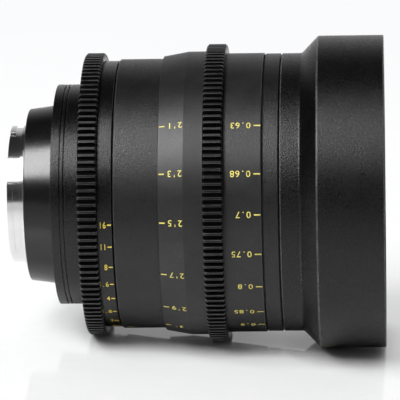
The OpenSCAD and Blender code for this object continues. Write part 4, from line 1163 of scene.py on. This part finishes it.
def digit_mesh(character):
    """One flat character as a mesh, in units of the type size, with its middle at its own origin."""
    curve = bpy.data.curves.new("digit", "FONT")
    curve.body = character
    curve.align_x = "CENTER"
    curve.offset = DIGIT_WEIGHT
    curve.extrude = 0.5
    curve.resolution_u = DIGIT_CURVE_STEPS
    holder = bpy.data.objects.new("digit", curve)
    bpy.context.scene.collection.objects.link(holder)
    shown = holder.evaluated_get(bpy.context.evaluated_depsgraph_get())
    mesh = bpy.data.meshes.new_from_object(shown)
    bpy.data.objects.remove(holder)
    bpy.data.curves.remove(curve)
    return mesh


def add_digits(bm, text, surface, anchor, angle, side, flipped, cell_width, sizes):
    """Wraps digits on a ring, each in a cell of one width, from the anchor forwards (1) or back (-1)."""
    heading = -1 if flipped else 1
    scale = sizes.digit_height / DIGIT_UNITS
    widen = cell_width / (DIGIT_ADVANCE * scale)
    cells = [text] if text == INFINITY else list(text)
    first = anchor + side * cell_width / 2
    if heading != side:
        first += side * (len(cells) - 1) * cell_width
    for index, character in enumerate(cells):
        mesh = digit_mesh("8" if character == INFINITY else character)
        middle = DIGIT_UNITS / 2
        if character == INFINITY:
            mesh.transform(Matrix.Translation((0.0, -middle, 0.0)))
            mesh.transform(Matrix.Rotation(math.pi / 2, 4, "Z"))
            middle = 0.0
        cell = first + heading * index * cell_width
        for vertex in mesh.vertices:
            station = cell + heading * vertex.co.x * scale * widen
            radius = surface(station)
            tilt = angle - heading * (vertex.co.y - middle) * scale / radius
            height = radius - PAINT_SINK + (vertex.co.z + 0.5) * (sizes.paint + PAINT_SINK)
            vertex.co = at(station, height, tilt)
        bm.from_mesh(mesh)
        bpy.data.meshes.remove(mesh)


def add_tick(bm, surface, rear, front, angle, sizes):
    """A painted line along the axis."""
    half = sizes.tick_width / (2 * surface(rear))
    outline = [
        (rear, surface(rear) - PAINT_SINK), (front, surface(front) - PAINT_SINK),
        (front, surface(front) + sizes.paint), (rear, surface(rear) + sizes.paint),
    ]
    spun(bm, outline, TICK_STEPS, angle - half, 2 * half)


def painted_scale(name, body, marks, surface, start, side, flipped, layout, paint, sizes):
    """A scale on a ring: each tick runs from the start to one side, and its digits follow it."""
    bm = new_mesh()
    tick, gap, cell_width = layout
    end = start + side * tick
    for text, degrees in marks:
        angle = math.radians(degrees) - sizes.scale_turn
        add_tick(bm, surface, min(start, end), max(start, end), angle, sizes)
        add_digits(bm, text, surface, end + side * gap, angle, side, flipped, cell_width, sizes)
    finish_piece(name, bm, body, "barrel_black", finishes=[paint])


def straight(radius):
    """A surface of one radius at every station."""
    return lambda station: radius


class LENS_OT_scales(bpy.types.Operator):
    """Painted distance scales in metres and feet, the iris scale and the index marks"""

    bl_idname = "lens.scales"
    bl_label = "Scales"

    def execute(self, context):
        sizes = context.scene.lens_sizes
        pale, deep = PAINTS
        focus_rear, focus_front, _, focus_outer = rim("focus_ring")
        focus_band = rim("focus_gear")[2] - sizes.seat_gap
        _, iris_front, _, iris_band = rim("iris_ring")
        fixed_rear, _, _, fixed_outer = rim("fixed_barrel")
        hood = rim("front_barrel")[3]
        slope = (focus_outer - sizes.focus_rear_radius) / sizes.focus_cone

        def on_focus_cone(station):
            return sizes.focus_rear_radius + slope * (station - focus_rear)

        metre_layout = (sizes.tick, sizes.digit_gap, sizes.digit_cell)
        foot_layout = (sizes.foot_tick, sizes.digit_gap, sizes.foot_digit_cell)
        iris_layout = (sizes.iris_tick, sizes.iris_digit_gap, sizes.iris_digit_cell)
        painted_scale(
            "metre_scale", "focus_control", METRE_MARKS, straight(focus_band), focus_front - sizes.tick_inset,
            -1, True, metre_layout, pale, sizes,
        )
        painted_scale(
            "foot_scale", "focus_control", FOOT_MARKS, on_focus_cone, focus_rear + sizes.tick_inset, 1, True,
            foot_layout, pale, sizes,
        )
        painted_scale(
            "iris_scale", "iris_control", IRIS_MARKS, straight(iris_band), iris_front - sizes.iris_tick_inset,
            -1, False, iris_layout, deep, sizes,
        )
        bm = new_mesh()
        index = sizes.index_turn - sizes.scale_turn
        fixed_mark = fixed_rear + sizes.index_inset
        add_tick(bm, straight(fixed_outer), fixed_mark, fixed_mark + sizes.index_length, index, sizes)
        hood_mark = hood_start(sizes) + sizes.index_inset
        add_tick(bm, straight(hood), hood_mark, hood_mark + sizes.index_length, index, sizes)
        finish_piece("index_marks", bm, "housing", "barrel_black", finishes=[pale])
        return {"FINISHED"}


class LENS_OT_inner_finishes(bpy.types.Operator):
    """Finishes of the pieces that keep their shape from the frame"""

    bl_idname = "lens.inner_finishes"
    bl_label = "Inner finishes"

    def execute(self, context):
        for node in frame["nodes"].values():
            slot = node.data.materials[0].name.split(".")[0]
            node.data.materials[0] = finish_of(slot)
        return {"FINISHED"}


# Stage


def in_view(tree):
    """One on the rays that come from the camera, straight or through glass."""
    path = node_of(tree, "ShaderNodeLightPath").outputs
    return math_node(tree, "MAXIMUM", path["Is Camera Ray"], path["Is Transmission Ray"])


def floor_finish(colour):
    """Smooth pale table top with a faint mirror image."""
    material, tree, shader = new_material("pale_table", Specular_IOR_Level=0.0)
    values = {"Base": opaque(colour), "Scale": 9.0, "Speckle": 0.02, "Roughness": 0.025, "Unevenness": 0.01}
    grain = group_in(tree, surface_grain(), **values)
    even = blend_colours(tree, FLOOR_EVENNESS, grain.outputs["Color"], colour)
    seen = in_view(tree)
    split = node_of(tree, "ShaderNodeSeparateXYZ")
    tree.links.new(node_of(tree, "ShaderNodeTexCoord").outputs["Object"], split.inputs[0])
    # Except for the camera's rays, straight or through glass, the table darkens towards the front: painted shade
    # that the lens's reflections show
    fall = remap(tree, split.outputs["Y"], FLOOR_FAR, FLOOR_NEAR, FLOOR_FALL, 1.0)
    lit = node_of(tree, "ShaderNodeVectorMath", operation="SCALE")
    tree.links.new(even, lit.inputs[0])
    tree.links.new(math_node(tree, "MAXIMUM", fall, seen), lit.inputs["Scale"])
    tree.links.new(lit.outputs[0], shader.inputs["Base Color"])
    glancing = node_of(tree, "ShaderNodeFresnel", IOR=FLOOR_INDEX).outputs[0]
    mirror = node_of(tree, "ShaderNodeBsdfGlossy")
    tree.links.new(math_node(tree, "MULTIPLY", glancing, FLOOR_MIRROR), mirror.inputs["Color"])
    tree.links.new(grain.outputs["Roughness"], mirror.inputs["Roughness"])
    polished = node_of(tree, "ShaderNodeAddShader")
    tree.links.new(shader.outputs[0], polished.inputs[0])
    tree.links.new(mirror.outputs[0], polished.inputs[1])
    # The camera sees a painted glow on the table, weaker near the lens and stronger far behind; ambient occlusion
    # takes it away at the contact, which paints the contact shadow darker than the real one
    glow = node_of(tree, "ShaderNodeEmission", Color=opaque(FLOOR_WHITE))
    mix = node_of(tree, "ShaderNodeMixShader")
    level = remap(tree, split.outputs["Y"], HORIZON_NEAR, HORIZON_FAR, FLOOR_GLOW, HORIZON_GLOW)
    near = node_of(tree, "ShaderNodeAmbientOcclusion", Distance=CONTACT).outputs["AO"]
    share = math_node(tree, "MULTIPLY", level, math_node(tree, "POWER", near, CONTACT_POWER))
    tree.links.new(math_node(tree, "MULTIPLY", seen, share), mix.inputs[0])
    tree.links.new(polished.outputs[0], mix.inputs[1])
    tree.links.new(glow.outputs[0], mix.inputs[2])
    tree.links.new(mix.outputs[0], tree.nodes["Material Output"].inputs["Surface"])
    return material


def studio_world():
    """A white backdrop behind the lens, a dark room in front of it, and white wherever the camera looks."""
    world = bpy.data.worlds.new("studio")
    bpy.context.scene.world = world
    world.use_nodes = True
    tree = world.node_tree
    background = tree.nodes["Background"]
    way = node_of(tree, "ShaderNodeTexCoord").outputs["Generated"]
    split = node_of(tree, "ShaderNodeSeparateXYZ")
    tree.links.new(way, split.inputs[0])
    behind = remap(tree, split.outputs["Y"], *BACKDROP_RANGE, ROOM_LIGHT, BACKDROP_LIGHT)
    seen = in_view(tree)
    level = math_node(tree, "MAXIMUM", behind, math_node(tree, "MULTIPLY", seen, BACKDROP_WHITE))
    tree.links.new(level, background.inputs["Color"])


def area_light(name, place, aim, width, height, power, lean, mirrored):
    """A soft light that faces its aim, square to the lens axis but for its lean, mirrored only if asked."""
    lamp = bpy.data.lights.new(name, "AREA")
    lamp.shape = "RECTANGLE"
    lamp.size = width
    lamp.size_y = height
    lamp.energy = power
    light = bpy.data.objects.new(name, lamp)
    light.location = place
    backward = (place - aim).normalized()
    upward = Matrix.Rotation(lean, 3, backward) @ backward.cross(AXIS).normalized()
    sideways = upward.cross(backward)
    light.rotation_euler = Matrix((sideways, upward, backward)).transposed().to_euler()
    light.visible_glossy = mirrored
    bpy.context.scene.collection.objects.link(light)


class LENS_OT_stage(bpy.types.Operator):
    """Table, studio light and the camera"""

    bl_idname = "lens.stage"
    bl_label = "Stage"

    def execute(self, context):
        scene = context.scene
        stage = scene.lens_stage
        scene.view_settings.view_transform = "Standard"
        self.add_floor(stage)
        self.add_camera(scene, stage)
        studio_world()
        middle = (CAD_LOW + CAD_HIGH) / 2
        key_place = middle + self.heading(stage.key_side, stage.key_rise) * stage.key_distance
        area_light(
            "key", key_place, middle, stage.key_width, stage.key_height, stage.key_power, stage.key_lean, True
        )
        core_place = middle + self.heading(stage.core_side, stage.core_rise) * stage.key_distance
        area_light(
            "strip", core_place, middle, stage.core_width, stage.core_height, stage.core_power, 0.0, True
        )
        top_place = Vector((middle.x, middle.y + stage.top_back, stage.top_height))
        area_light("top", top_place, middle, stage.top_size, stage.top_size, stage.top_power, 0.0, False)
        return {"FINISHED"}

    def heading(self, side, rise):
        """The way to a light that stands to the mount's side of the camera, at a height."""
        level = math.cos(rise)
        return Vector((-math.sin(side) * level, -math.cos(side) * level, math.sin(rise)))

    def add_floor(self, stage):
        """A wide table under the lens, which lies on its iris gear and on the rear edge of its hood."""
        gear_rear, gear_front, _, gear = rim("iris_gear")
        sizes = bpy.context.scene.lens_sizes
        hood = rim("front_barrel")[3]
        rear_rest = Vector(((gear_rear + gear_front) / 2, 0.0, -gear))
        front_rest = Vector((hood_start(sizes), 0.0, -hood))
        along = (front_rest - rear_rest).normalized()
        bm = bmesh.new()
        bmesh.ops.create_grid(bm, x_segments=1, y_segments=1, size=stage.floor_size / 2)
        tip = along.to_track_quat("X", "Z").to_matrix()
        bmesh.ops.rotate(bm, cent=CENTRE, matrix=tip, verts=bm.verts)
        bmesh.ops.translate(bm, vec=(rear_rest + front_rest) / 2, verts=bm.verts)
        mesh = bpy.data.meshes.new("table_top")
        bm.to_mesh(mesh)
        bm.free()
        mesh.materials.append(floor_finish(stage.floor))
        table = bpy.data.objects.new("table_top", mesh)
        bpy.context.scene.collection.objects.link(table)

    def add_camera(self, scene, stage):
        """The camera, a little above the lens and near its front end."""
        lens = bpy.data.cameras.new("camera")
        lens.lens = stage.focal
        camera = bpy.data.objects.new("camera", lens)
        scene.collection.objects.link(camera)
        rise = Vector((0.0, -math.cos(stage.camera_rise), math.sin(stage.camera_rise)))
        upward = Vector((0.0, math.sin(stage.camera_rise), math.cos(stage.camera_rise)))
        camera.location = AXIS * stage.camera_station + rise * stage.camera_distance
        aim = AXIS * stage.aim_station - upward * stage.aim_drop
        facing = (aim - camera.location).to_track_quat("-Z", "Y")
        roll = Matrix.Rotation(stage.camera_roll, 3, "Z")
        camera.rotation_euler = (facing.to_matrix() @ roll).to_euler()
        lens.clip_end = stage.floor_size * 2
        scene.camera = camera


# Panel and registration


class LENS_PT_parts(bpy.types.Panel):
    """Lists the pieces of the lens"""

    bl_label = "Cinema Lens"
    bl_idname = "LENS_PT_parts"
    bl_space_type = "VIEW_3D"
    bl_region_type = "UI"
    bl_category = "Lens"

    def draw(self, context):
        column = self.layout.column(align=True)
        for operator in OPERATORS:
            column.operator(operator.bl_idname)
        for group in (context.scene.lens_sizes, context.scene.lens_colours, context.scene.lens_stage):
            box = self.layout.box()
            for name in group.__annotations__:
                box.prop(group, name)


OPERATORS = (
    LENS_OT_inner_finishes,
    LENS_OT_bayonet,
    LENS_OT_rear_cover,
    LENS_OT_rear_barrel,
    LENS_OT_iris_ring,
    LENS_OT_gear_rings,
    LENS_OT_fixed_barrel,
    LENS_OT_focus_ring,
    LENS_OT_index_ring,
    LENS_OT_front_barrel,
    LENS_OT_front_glass,
    LENS_OT_scales,
    LENS_OT_stage,
)
CLASSES = (LensSizes, LensColours, LensStage, *OPERATORS, LENS_PT_parts)


def register():
    """Adds the sizes, the operators and the panel to Blender."""
    for item in CLASSES:
        bpy.utils.register_class(item)
    bpy.types.Scene.lens_sizes = PointerProperty(type=LensSizes)
    bpy.types.Scene.lens_colours = PointerProperty(type=LensColours)
    bpy.types.Scene.lens_stage = PointerProperty(type=LensStage)


def unregister():
    """Takes the sizes, the operators and the panel out of Blender."""
    del bpy.types.Scene.lens_stage
    del bpy.types.Scene.lens_colours
    del bpy.types.Scene.lens_sizes
    for item in reversed(CLASSES):
        bpy.utils.unregister_class(item)


def main():
    """Builds every piece, then the stage."""
    register()
    bpy.ops.lens.inner_finishes()
    bpy.ops.lens.bayonet()
    bpy.ops.lens.rear_cover()
    bpy.ops.lens.rear_barrel()
    bpy.ops.lens.iris_ring()
    bpy.ops.lens.gear_rings()
    bpy.ops.lens.fixed_barrel()
    bpy.ops.lens.focus_ring()
    bpy.ops.lens.index_ring()
    bpy.ops.lens.front_barrel()
    bpy.ops.lens.front_glass()
    bpy.ops.lens.scales()
    bpy.ops.lens.stage()


if __name__ == "__main__":
    main()
